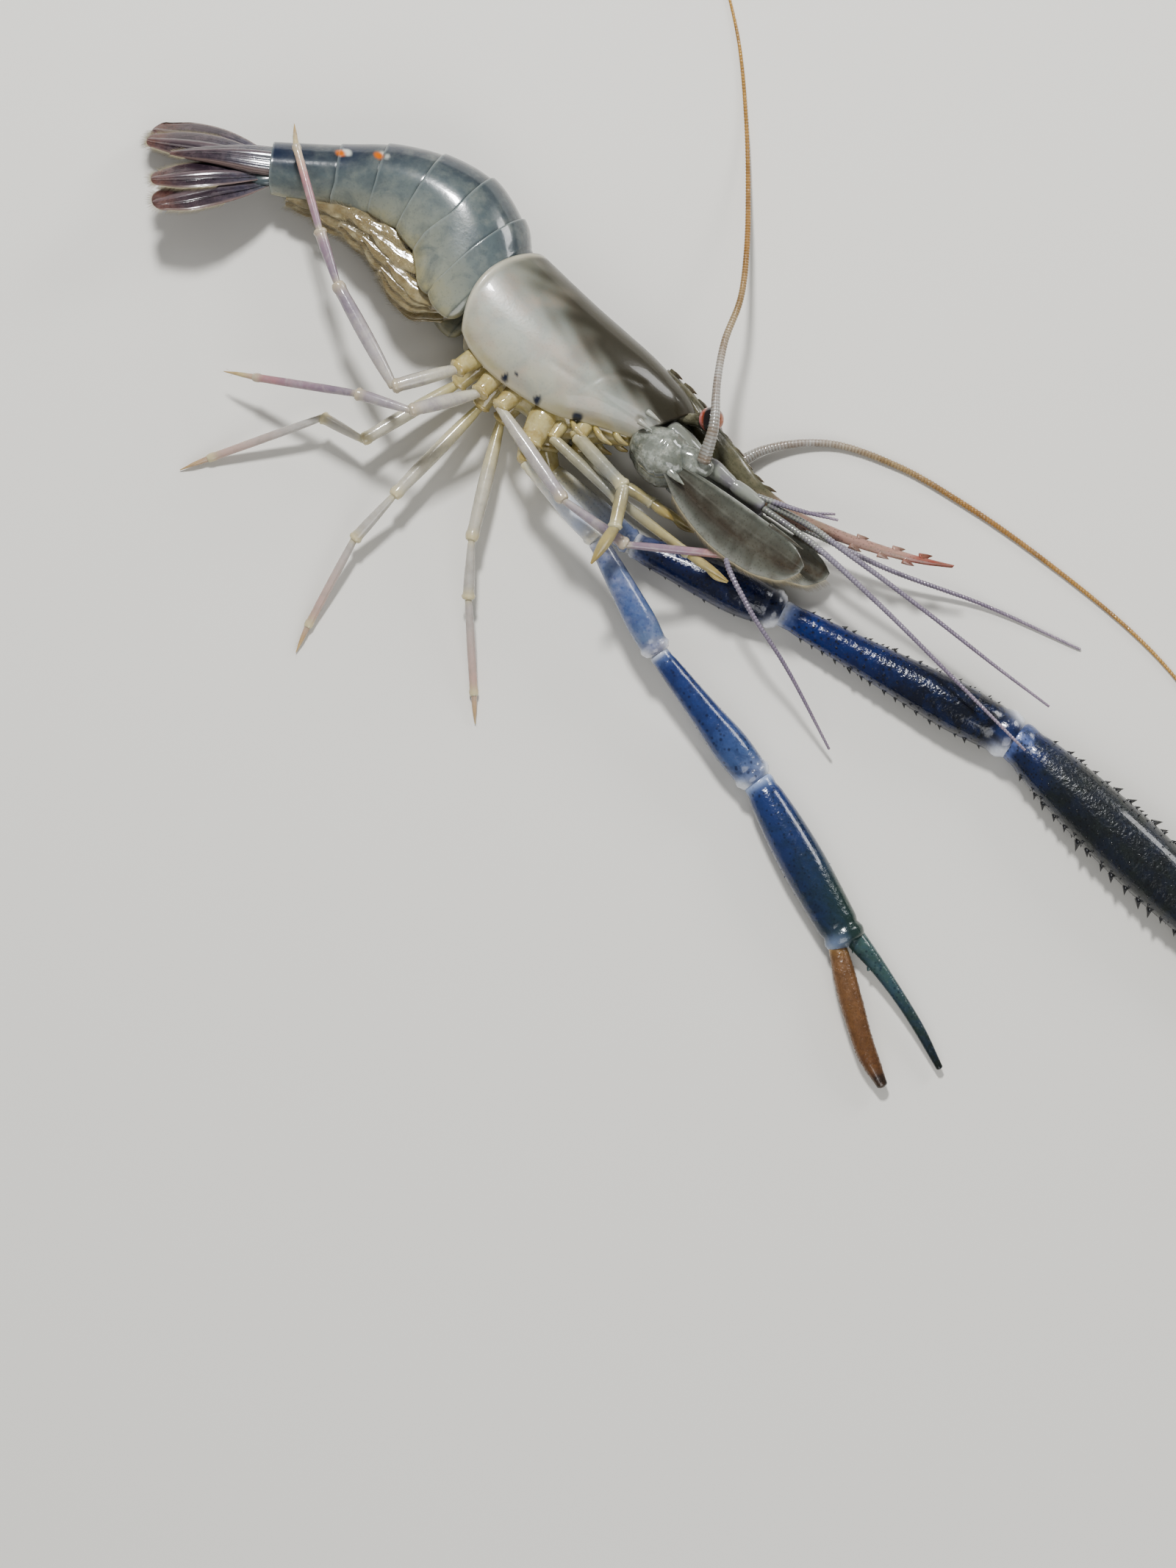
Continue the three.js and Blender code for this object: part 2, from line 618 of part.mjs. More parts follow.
function palm(name) {
  const { joints } = LIMBS[name];
  const { palmRows, counts, palmLength } = ARM_SPINES[name];
  const widths = ARM_WIDTHS[name][3];
  const path = [joints[4], joints[5]];
  const start = points(path)[0].lerp(points(path)[1], 0.02).toArray();
  const hand = rod([start, joints[5]], widths, { depth: 0.86 });
  return joined(hand, spineRows(path, widths, palmRows, counts[3], palmLength));
}

// The finger that the palm carries is a node of its own, so that the open claw collides as open.
function fixedFinger(name) {
  const { fixed, closing } = CLAWS[name];
  const base = ARM_WIDTHS[name][4];
  const finger = rod(fixed, [base, base, base * 0.84, base * 0.62, 0.5], { depth: 0.85, steps: 7 });
  const cutters = [0.3, 0.42].map((place) => spine(
    new THREE.CatmullRomCurve3(points(fixed)).getPointAt(place).addScaledVector(closing, base * 0.7),
    closing,
    base * 0.5,
    base * 0.36,
  ));
  const spines = name === 'left_arm'
    ? spineRows([fixed[0], fixed[2]], [base, base * 0.7], [150, 190], 5, 1.4)
    : [];
  return joined(finger, cutters, spines);
}

function movingFinger(name) {
  const { moving, closing } = CLAWS[name];
  const base = ARM_WIDTHS[name][4];
  const finger = rod(moving, [base * 0.8, base, base * 0.86, base * 0.62, 0.5], { depth: 0.85, steps: 7 });
  const cutter = spine(
    new THREE.CatmullRomCurve3(points(moving)).getPointAt(0.36).addScaledVector(closing, -base * 0.7),
    closing.clone().negate(),
    base * 0.5,
    base * 0.36,
  );
  return joined(finger, cutter);
}

// Walking legs and feeding legs, each as its joints and the widths there.
const LEGS = {
  right_leg_3: {
    hip: 'third',
    joints: [
      [18, -24.5, 21.6], [47, -33.5, 26], [66.6, -31.8, 24], [91.6, -12.8, 16], [97.5, -8.2, 14.6],
    ],
  },
  right_leg_4: {
    hip: 'fourth',
    joints: [[11.5, -25, 22], [2, -41, 28], [-12, -46, 25], [-38.2, -57.6, 11], [-46, -61, 7.6]],
  },
  right_leg_5: {
    hip: 'fifth',
    joints: [
      [3, -24, 22.6], [-6.2, -38.4, 24.4], [-35, -27, 24.8], [-47.8, -19, 24.8], [-67.6, -5.4, 24],
      [-72, -1, 22.4],
    ],
  },
  left_leg_3: {
    hip: 'third',
    joints: [[18, -24.5, 8], [33, -54, 9.4], [42, -66, 6.4], [59, -84, 1.5], [64, -89.5, 0.6]],
  },
  left_leg_4: {
    hip: 'fourth',
    joints: [[11.5, -25, 7.6], [10, -58, 9.6], [9, -73, 6], [14, -98, 1.4], [16, -105, 0.6]],
  },
  left_leg_5: {
    hip: 'fifth',
    joints: [[3, -24, 7.2], [-5.7, -52, 10], [-17.9, -54, 9], [-35.1, -80.5, 1.6], [-39, -87.5, 0.6]],
  },
};
const FEEDERS = {
  right_maxilliped: {
    hip: 'maxilliped',
    width: 1.8,
    joints: [[38.5, -17.6, 21.4], [56.8, -21, 27], [62.2, -31, 28.6], [63.2, -41.5, 25.6]],
  },
  left_maxilliped: {
    hip: 'maxilliped',
    width: 1.6,
    joints: [[39, -18.6, 8.6], [54, -17.6, 10], [63, -16.6, 10.6], [70, -16.4, 10.4]],
  },
  right_leg_1: {
    hip: 'first',
    width: 1.4,
    joints: [[33.5, -21.6, 20.2], [57.5, -23.6, 21.6], [79.8, -22.4, 18.6], [92, -21, 16.6]],
  },
  left_leg_1: {
    hip: 'first',
    width: 1.4,
    joints: [[34, -18.8, 4.8], [52, -16, 3.4], [63, -14.8, 2.4], [75, -13.6, 1.8]],
  },
};

// The leg that folds forward and up shows its short root length, so that is a node of its own.
const legRoot = (name) => rod(LEGS[name].joints.slice(0, 2), [1.9, 1.9, 1.7]);

const legUpper = (name) => rod(LEGS[name].joints.slice(-5, -3), [1.9, 1.8, 2, 1.9, 1.5]);

function legLower(name) {
  const { joints } = LEGS[name];
  const [knee, wrist, heel, tip] = joints.slice(-4);
  return joined(
    rod([knee, wrist], [1.3, 1.5, 1.4]),
    rod([wrist, heel], [1.3, 1.2, 1.05]),
    rod([heel, tip], [0.95, 0.7, 0.3]),
  );
}

function feeder(name) {
  const { joints, width } = FEEDERS[name];
  return joined(
    rod([joints[0], joints[1]], [width, width * 1.1, width * 0.9]),
    rod([joints[1], joints[2]], [width * 0.95, width * 0.9, width * 0.8]),
    rod([joints[2], joints[3]], [width * 0.85, width * 0.8, 0.35]),
  );
}

function limbRoots() {
  const roots = [];
  const add = (hip, joint, width) => {
    const flank = joint[2] > MIDLINE_HEIGHT ? 1 : -1;
    const depth = hip === 'maxilliped' ? -11.5 : -15;
    roots.push({ hip: [HIPS[hip], depth, MIDLINE_HEIGHT + flank * 4.2], root: joint, width });
  };
  Object.values(LEGS).forEach(({ hip, joints }) => add(hip, joints[0], 2));
  Object.values(FEEDERS).forEach(({ hip, joints, width }) => add(hip, joints[0], width));
  Object.values(LIMBS).forEach(({ joints, width }) => add('second', joints[0], width));
  return roots;
}

// Every part in order. A later part gives way to the earlier ones, and keeps the joint gap to them.
const parts = [];
const addPart = (name, solid, colour) => parts.push({ name, solid, colour });

addPart('rostrum', rostrum(), 'rostrum');
addPart('carapace', carapace(), 'shell');
[1, 2, 3, 4, 5, 6].forEach((number) => addPart(`somite_${number}`, somite(number), 'abdomen'));
addPart('telson', telson(), 'tail');
Object.entries(flanks).forEach(([side, flank]) => {
  addPart(`uropod_inner_${side}`, uropod(side, 'inner'), 'tail');
  addPart(`uropod_outer_${side}`, uropod(side, 'outer'), 'tail');
  addPart(`eye_${side}`, eye(flank), 'eye');
  addPart(`antennule_${side}`, antennule(flank), 'antennule');
  addPart(`antennule_inner_${side}`, antennuleThread(side, 'inner'), 'antennule');
  addPart(`antennule_outer_${side}`, antennuleThread(side, 'outer'), 'antennule');
  addPart(`antenna_base_${side}`, antennaBase(flank), 'underside');
  addPart(`antenna_scale_${side}`, scale(flank), 'scale');
  Object.keys(ANTENNAE[side]).forEach((part) => {
    addPart(`antenna_${part}_${side}`, antennaLength(side, part), 'antenna');
  });
});
['right_arm', 'left_arm'].forEach((name) => {
  const colour = name === 'right_arm' ? 'rightArm' : 'leftArm';
  addPart(`${name}_palm`, palm(name), colour);
  addPart(`${name}_fixed_finger`, fixedFinger(name), colour);
  addPart(`${name}_finger`, movingFinger(name), name === 'right_arm' ? 'finger' : 'leftArm');
  addPart(`${name}_carpus`, armPart(name, 2), colour);
  addPart(`${name}_merus`, armPart(name, 1), colour);
  addPart(`${name}_ischium`, armPart(name, 0), colour);
});
Object.keys(LEGS).forEach((name) => {
  if (LEGS[name].joints.length > 5) {
    addPart(`${name}_root`, legRoot(name), 'leg');
  }
  addPart(`${name}_upper`, legUpper(name), 'leg');
  addPart(`${name}_lower`, legLower(name), 'leg');
});
Object.keys(FEEDERS).forEach((name) => addPart(name, feeder(name), 'leg'));
addPart('thorax_underside', thoraxUnderside(limbRoots()), 'underside');

// Cuts each part clear of the earlier ones and of the floor.
const overlapping = (a, b) => [0, 1, 2].every((axis) => (
  a.max[axis] + 1 > b.min[axis] && b.max[axis] + 1 > a.min[axis]));
const placed = [];
parts.forEach(({ name, solid, colour }) => {
  const clear = placed
    .filter((other) => overlapping(other.solid.boundingBox(), solid.boundingBox()))
    .reduce((rest, other) => rest.subtract(other.wide), solid);
  const rested = tidied(largest(clear.trimByPlane([0, 0, 1], 0)));
  placed.push({ name, colour, solid: rested, wide: grown(rested, JOINT_GAP) });
});

// Centres the whole on the floor and hands it over as named meshes.
const bounds = new THREE.Box3();
placed.forEach(({ solid }) => {
  const { min, max } = solid.boundingBox();
  bounds.expandByPoint(point(...min)).expandByPoint(point(...max));
});
const centre = bounds.getCenter(point(0, 0, 0));
const group = new THREE.Group();
placed.forEach(({ name, solid, colour }) => {
  const { vertProperties, triVerts } = solid.translate([-centre.x, -centre.y, 0]).getMesh();
  const geometry = new THREE.BufferGeometry();
  geometry.setAttribute('position', new THREE.BufferAttribute(vertProperties, 3));
  geometry.setIndex(new THREE.BufferAttribute(triVerts, 1));
  geometry.computeVertexNormals();
  const material = new THREE.MeshStandardMaterial({ color: COLOURS[colour], roughness: 0.35 });
  const mesh = new THREE.Mesh(geometry, material);
  mesh.name = name;
  group.add(mesh);
});

export default group;
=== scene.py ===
"""Giant river prawn at life size, lying on its left side, dressed over its CAD frame."""

import math

import bpy
import numpy as np
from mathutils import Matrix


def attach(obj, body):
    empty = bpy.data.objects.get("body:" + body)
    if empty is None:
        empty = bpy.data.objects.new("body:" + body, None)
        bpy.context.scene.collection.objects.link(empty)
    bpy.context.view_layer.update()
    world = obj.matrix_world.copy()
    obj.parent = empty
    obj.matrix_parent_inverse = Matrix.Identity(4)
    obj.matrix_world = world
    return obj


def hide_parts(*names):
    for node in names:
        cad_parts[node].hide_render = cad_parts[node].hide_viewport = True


bl_info = {
    "name": "Giant river prawn",
    "version": (1, 0, 0),
    "blender": (4, 5, 0),
    "location": "View3D > Sidebar > Prawn",
    "description": "Builds a life-size giant river prawn lying on its left side",
    "category": "Add Mesh",
}

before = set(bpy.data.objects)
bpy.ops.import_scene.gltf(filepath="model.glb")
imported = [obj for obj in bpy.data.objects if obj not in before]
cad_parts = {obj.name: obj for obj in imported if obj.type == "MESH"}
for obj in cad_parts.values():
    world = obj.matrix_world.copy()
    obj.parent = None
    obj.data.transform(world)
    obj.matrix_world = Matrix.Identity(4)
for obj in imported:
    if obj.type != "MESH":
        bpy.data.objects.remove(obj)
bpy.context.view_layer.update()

# Lengths in the tables below are millimetres in the animal's own axes: +X the way the head points,
# +Y its back, +Z the right flank, which faces up. The frame's origin is the middle of the whole.
MM = 0.001
FRAME_MIDDLE = np.array([102.08, 1.56, 0.0])
MIDLINE_HEIGHT = 14.8
FLOOR_CLEARANCE = 0.05
UP = np.array([0.0, 0.0, 1.0])
DEGREE = math.pi / 180
FLANKS = {"right": 1, "left": -1}


# Sizes and colours that a user would change.
def linear(code):
    """An sRGB hex colour as linear red, green and blue. A linear colour stays as it is."""
    if not isinstance(code, str):
        return tuple(code)
    parts = [int(code[k:k + 2], 16) / 255 for k in (1, 3, 5)]
    return tuple(c / 12.92 if c <= 0.04045 else ((c + 0.055) / 1.055) ** 2.4 for c in parts)


def colour_setting(name, description, code):
    return bpy.props.FloatVectorProperty(
        name=name, description=description, default=linear(code), subtype="COLOR", min=0, max=1)


def length_setting(name, description, millimetres):
    return bpy.props.FloatProperty(
        name=name, description=description, default=millimetres * MM, min=0, unit="LENGTH")


class PrawnSizes(bpy.types.PropertyGroup):
    bristle_length: length_setting("Fringe length", "Bristles on the scales and tail fan", 2.6)
    bristle_radius: length_setting("Bristle radius", "Radius of a bristle at its root", 0.06)
    velvet_length: length_setting("Velvet length", "Length of the hairs on the brown finger", 0.36)
    spine_length: length_setting("Spine length", "Longest spines on the left hand", 3.0)
    ring_spacing: length_setting("Feeler ring spacing", "Distance between rings of a feeler", 0.9)
    eye_radius: length_setting("Eye radius", "Radius of the dark eyeball", 3.3)


class PrawnColours(bpy.types.PropertyGroup):
    shell: colour_setting("Shell", "Pale flank of the head shell", "#AEB0A6")
    back: colour_setting("Back", "Olive back of the head shell", "#332F22")
    abdomen: colour_setting("Abdomen", "Grey-blue rings of the abdomen", "#5C6668")
    cobalt: colour_setting("Right arm", "Cobalt of the right arm", "#243668")
    navy: colour_setting("Left arm", "Dark blue of the left arm", "#0B1638")
    velvet: colour_setting("Velvet finger", "Brown of the right moving finger", "#77573A")
    feeler: colour_setting("Feelers", "Golden brown of the long feelers", "#9A7238")


# Shapes from tables.
def smooth_values(keys, values, at):
    """Values of a smooth line through a table, at some places along its keys."""
    keys = np.asarray(keys, float)
    values = np.asarray(values, float)
    at = np.clip(at, keys[0], keys[-1])
    slopes = np.gradient(values, keys, axis=0)
    k = np.clip(np.searchsorted(keys, at, side="right") - 1, 0, len(keys) - 2)
    step = keys[k + 1] - keys[k]
    t = (at - keys[k]) / step
    if values.ndim > 1:
        t, step = t[:, None], step[:, None]
    return ((2 * t**3 - 3 * t**2 + 1) * values[k] + (t**3 - 2 * t**2 + t) * step * slopes[k]
            + (3 * t**2 - 2 * t**3) * values[k + 1] + (t**3 - t**2) * step * slopes[k + 1])


def even_values(values, at):
    """Values of a smooth line through evenly spaced values, at places from 0 to 1."""
    values = np.atleast_1d(np.asarray(values, float))
    if len(values) == 1:
        return np.full(len(at), values[0])
    return smooth_values(np.linspace(0, 1, len(values)), values, at)


def path_length(path):
    return float(np.linalg.norm(np.diff(np.asarray(path, float), axis=0), axis=1).sum())


def smooth_path(points, count):
    """Points at even steps on a smooth path through a few points."""
    points = np.asarray(points, float)
    keys = np.concatenate([[0], np.cumsum(np.linalg.norm(np.diff(points, axis=0), axis=1))])
    return smooth_values(keys, points, np.linspace(0, keys[-1], count))


def unit(vectors):
    vectors = np.asarray(vectors, float)
    return vectors / np.maximum(np.linalg.norm(vectors, axis=-1, keepdims=True), 1e-9)


def hump(values, centre, width):
    """A smooth hump of height 1 about a centre."""
    return np.exp(-(((values - centre) / width) ** 2))


def round_angles(count):
    """Angles at even steps round a full turn."""
    return np.arange(count) / count * 2 * math.pi


def sideways(way, up=UP):
    """Unit vectors across a way, and upwards from it."""
    side = unit(np.cross(way, up))
    return side, np.cross(side, way)


def flanked(rows, flank):
    """Points on one flank, from places along the body, heights and places out from its middle."""
    return np.array([(x, y, MIDLINE_HEIGHT + flank * out) for x, y, out in rows])


class Form:
    """A mesh in the making: corners in millimetres, faces, and named values at the corners."""

    def __init__(self, corners, faces, fields=None):
        self.corners = corners
        self.faces = faces
        self.fields = fields or {}

    def fill(self, field, value):
        self.fields[field] = np.full(len(self.corners), float(value))
        return self


def skin(rings, fields):
    """A closed skin over rings of corners, with its faces turned outwards."""
    count, sides = rings.shape[:2]
    base = np.arange(count - 1)[:, None] * sides
    k = np.arange(sides)[None, :]
    n = (k + 1) % sides
    quads = np.stack([base + k, base + n, base + sides + n, base + sides + k], -1).reshape(-1, 4)
    corners = rings.reshape(-1, 3)
    centred = corners - corners.mean(0)
    a, b, c, d = (centred[quads[:, corner]] for corner in range(4))
    volume = np.einsum("ij,ij->", a, np.cross(b, c)) + np.einsum("ij,ij->", a, np.cross(c, d))
    first, last = len(corners), len(corners) + 1
    corners = np.vstack([corners, rings[0].mean(0), rings[-1].mean(0)])
    end = (count - 1) * sides
    faces = quads.tolist()
    faces += [[first, (j + 1) % sides, j] for j in range(sides)]
    faces += [[last, end + j, end + (j + 1) % sides] for j in range(sides)]
    if volume < 0:
        faces = [face[::-1] for face in faces]
    values = {}
    for name, field in fields.items():
        grid = np.broadcast_to(field, (count, sides))
        values[name] = np.concatenate([grid.reshape(-1), [grid[0].mean(), grid[-1].mean()]])
    return Form(corners, faces, values)


def joined(forms):
    corners, faces, offset = [], [], 0
    names = sorted({name for form in forms for name in form.fields})
    fields = {name: [] for name in names}
    for form in forms:
        corners.append(form.corners)
        faces += [[corner + offset for corner in face] for face in form.faces]
        for name in names:
            fields[name].append(form.fields.get(name, np.zeros(len(form.corners))))
        offset += len(form.corners)
    return Form(np.vstack(corners), faces, {name: np.concatenate(fields[name]) for name in names})


# Rings of a rounded end, and the share of the width that its last ring keeps.
CAP_STEPS = 5
CAP_TIP = 0.05


def rod(path, widths, depth=1.0, up=UP, steps=40, sides=28, cap=0.6, ripple=None):
    """A rounded rod along a path. Widths run from root to tip, ripple shapes its surface."""
    line = smooth_path(path, steps)
    place = np.linspace(0, 1, steps)
    width = even_values(widths, place)
    depths = even_values(depth, place)
    way = unit(np.gradient(line, axis=0))
    early = np.linspace(0, math.pi / 2, CAP_STEPS, endpoint=False)
    late = early + early[1]
    head = line[0] - way[0] * (cap * width[0] * np.cos(early))[:, None]
    tail = line[-1] + way[-1] * (cap * width[-1] * np.sin(late))[:, None]
    line = np.vstack([head, line, tail])
    way = np.vstack([np.repeat(way[:1], CAP_STEPS, 0), way, np.repeat(way[-1:], CAP_STEPS, 0)])
    ends = np.maximum(np.sin(early), CAP_TIP), np.maximum(np.cos(late), CAP_TIP)
    width = np.concatenate([width[0] * ends[0], width, width[-1] * ends[1]])
    depths = np.pad(depths, CAP_STEPS, mode="edge")
    place = np.pad(place, CAP_STEPS, mode="edge")
    side, lift = sideways(way, up)
    angle = round_angles(sides)
    radius = width[:, None] * np.ones(sides)
    if ripple is not None:
        radius = radius * ripple(place[:, None], angle[None, :])
    rings = (line[:, None] + side[:, None] * (np.cos(angle) * radius)[..., None]
             + lift[:, None] * (np.sin(angle) * radius * depths[:, None])[..., None])
    return skin(rings, {"along": place[:, None], "across": 0.5 + 0.5 * np.cos(angle)[None, :]})


def closed_outline(half, count):
    """A smooth closed section from half an outline of heights and shares of the width."""
    half = np.asarray(half, float)
    loop = np.vstack([half, half[-2:0:-1] * [1, -1], half[:1]])
    wrapped = np.vstack([loop[-4:-1], loop, loop[1:4]])
    keys = np.concatenate([[0], np.cumsum(np.linalg.norm(np.diff(wrapped, axis=0), axis=1))])
    return smooth_values(keys, wrapped, np.linspace(keys[3], keys[-4], count, endpoint=False))


# Handing finished pieces to the frame.
def settle(corners):
    """Corners in metres in the frame, none of them under the floor."""
    placed = (corners - FRAME_MIDDLE) * MM
    placed[:, 2] = np.maximum(placed[:, 2], FLOOR_CLEARANCE * MM)
    return placed


def new_mesh(name, form):
    mesh = bpy.data.meshes.new(name)
    mesh.from_pydata(settle(form.corners).tolist(), [], form.faces)
    for field, values in form.fields.items():
        layer = mesh.attributes.new(field, "FLOAT", "POINT")
        layer.data.foreach_set("value", np.asarray(values, np.float32))
    mesh.polygons.foreach_set("use_smooth", [True] * len(mesh.polygons))
    mesh.update()
    return mesh


def hand_over(name, mesh, nodes=()):
    piece = bpy.data.objects.new(name, mesh)
    bpy.context.scene.collection.objects.link(piece)
    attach(piece, "root")
    if nodes:
        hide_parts(*nodes)


def add_piece(name, form, material, slot, nodes=()):
    mesh = new_mesh(name, form)
    mesh.materials.append(bpy.data.materials[material])
    hand_over(name, mesh, nodes)


# The shortest and longest bristles, as shares of the length that a piece asks for.
SHORTEST, LONGEST = 0.7, 1.1


def bristle_tree(name, material):
    """Geometry Nodes: a thin cone stands at each point along its way, a little out of order."""
    tree = bpy.data.node_groups.new(name, "GeometryNodeTree")
    face = tree.interface
    sockets = [("Geometry", "NodeSocketGeometry", None), ("Length", "NodeSocketFloat", 2 * MM),
               ("Root radius", "NodeSocketFloat", 0.06 * MM), ("Disorder", "NodeSocketFloat", 0.1),
               ("Sides", "NodeSocketInt", 3), ("Seed", "NodeSocketInt", 1)]
    for label, kind, default in sockets:
        socket = face.new_socket(label, in_out="INPUT", socket_type=kind)
        if default is not None:
            socket.default_value = default
    face.new_socket("Geometry", in_out="OUTPUT", socket_type="NodeSocketGeometry")
    start = tree.nodes.new("NodeGroupInput")
    points = add_node(tree, "GeometryNodeMeshToPoints", {"Mesh": start.outputs["Geometry"]})
    cone = add_node(tree, "GeometryNodeMeshCone", {
        "Vertices": start.outputs["Sides"], "Radius Top": 0.0, "Depth": start.outputs["Length"],
        "Radius Bottom": start.outputs["Root radius"]}, fill_type="NONE")
    way, size = (add_node(tree, "GeometryNodeInputNamedAttribute", {"Name": name}, data_type=kind)
                 for name, kind in (("way", "FLOAT_VECTOR"), ("size", "FLOAT")))
    stray = add_node(tree, "FunctionNodeRandomValue", {
        0: (-1.0,) * 3, 1: (1.0,) * 3, "Seed": start.outputs["Seed"]}, data_type="FLOAT_VECTOR")
    spread = add_node(tree, "ShaderNodeVectorMath", {
        0: stray.outputs[0], "Scale": start.outputs["Disorder"]}, operation="SCALE")
    lean = add_node(tree, "ShaderNodeVectorMath", {
        0: way.outputs[0], 1: spread.outputs[0]}, operation="ADD")
    turn = add_node(tree, "FunctionNodeAlignRotationToVector", {
        "Vector": lean.outputs[0]}, axis="Z")
    vary = add_node(tree, "FunctionNodeRandomValue", {
        2: SHORTEST, 3: LONGEST, "Seed": start.outputs["Seed"]}, data_type="FLOAT")
    scale = add_node(tree, "ShaderNodeMath", {
        0: size.outputs[0], 1: vary.outputs[1]}, operation="MULTIPLY")
    spread_out = add_node(tree, "GeometryNodeInstanceOnPoints", {
        "Points": points.outputs[0], "Instance": cone.outputs["Mesh"], "Rotation": turn.outputs[0],
        "Scale": scale.outputs[0]})
    real = add_node(tree, "GeometryNodeRealizeInstances", {"Geometry": spread_out.outputs[0]})
    coat = add_node(tree, "GeometryNodeSetMaterial", {"Geometry": real.outputs[0]})
    coat.inputs["Material"].default_value = bpy.data.materials[material]
    finish = tree.nodes.new("NodeGroupOutput")
    tree.links.new(coat.outputs[0], finish.inputs[0])
    return tree


# A bristle is left out where its tip, sagging by a share of its length, comes under this height.
BRISTLE_SAG = 0.35
LOWEST_TIP = 0.1


def add_bristles(name, rows, material, slot, **settings):
    """One piece of bristles or spines from rows of roots, ways and relative sizes."""
    roots, ways, sizes = (np.concatenate(column) for column in zip(*rows))
    ways = unit(ways)
    length = settings["Length"] / MM * sizes
    clear = roots[:, 2] + (ways[:, 2] - BRISTLE_SAG) * length > LOWEST_TIP
    mesh = new_mesh(name + "_roots", Form(roots[clear], [], {"size": sizes[clear]}))
    layer = mesh.attributes.new("way", "FLOAT_VECTOR", "POINT")
    layer.data.foreach_set("vector", ways[clear].astype(np.float32).reshape(-1))
    carrier = bpy.data.objects.new(name + "_roots", mesh)
    bpy.context.scene.collection.objects.link(carrier)
    modifier = carrier.modifiers.new("Bristles", "NODES")
    modifier.node_group = bristle_tree(name + "_layout", material)
    for item in modifier.node_group.interface.items_tree:
        if item.in_out == "INPUT" and item.name in settings:
            modifier[item.identifier] = settings[item.name]
    graph = bpy.context.evaluated_depsgraph_get()
    made = bpy.data.meshes.new_from_object(carrier.evaluated_get(graph))
    carrier.modifiers.remove(modifier)
    bpy.data.objects.remove(carrier)
    made.polygons.foreach_set("use_smooth", [True] * len(made.polygons))
    hand_over(name, made)


# Materials.
def add_node(tree, kind, inputs=None, stops=None, **settings):
    """Adds a node with its settings. An input is a value or the socket that feeds it.

    Stops are the colours of a ramp, by percentage along it."""
    node = tree.nodes.new(kind)
    for name, value in settings.items():
        setattr(node, name, value)
    for name, value in (inputs or {}).items():
        if isinstance(value, bpy.types.NodeSocket):
            tree.links.new(value, node.inputs[name])
        else:
            node.inputs[name].default_value = value
    if stops:
        band = node.color_ramp
        while len(band.elements) < len(stops):
            band.elements.new(0.5)
        for element, (place, colour) in zip(band.elements, stops.items()):
            element.position = place / 100
            element.color = (*linear(colour), 1)
    return node


def per_metre(size_mm):
    """Pattern scale for details of a size in millimetres."""
    return 1 / (size_mm * MM)


# The noise at which a cloud starts and is full, and the reach of a speck from its middle.
CLOUD_START, CLOUD_FULL = 0.45, 0.66
SPECK_EDGE, SPECK_CORE = 0.34, 0.16
# Millimetres: size of the drift in a run of colours, depth of the dents, and of light in flesh.
DRIFT_SIZE = 7
DENT_DEPTH = 0.25
LIGHT_DEPTH = 1.6


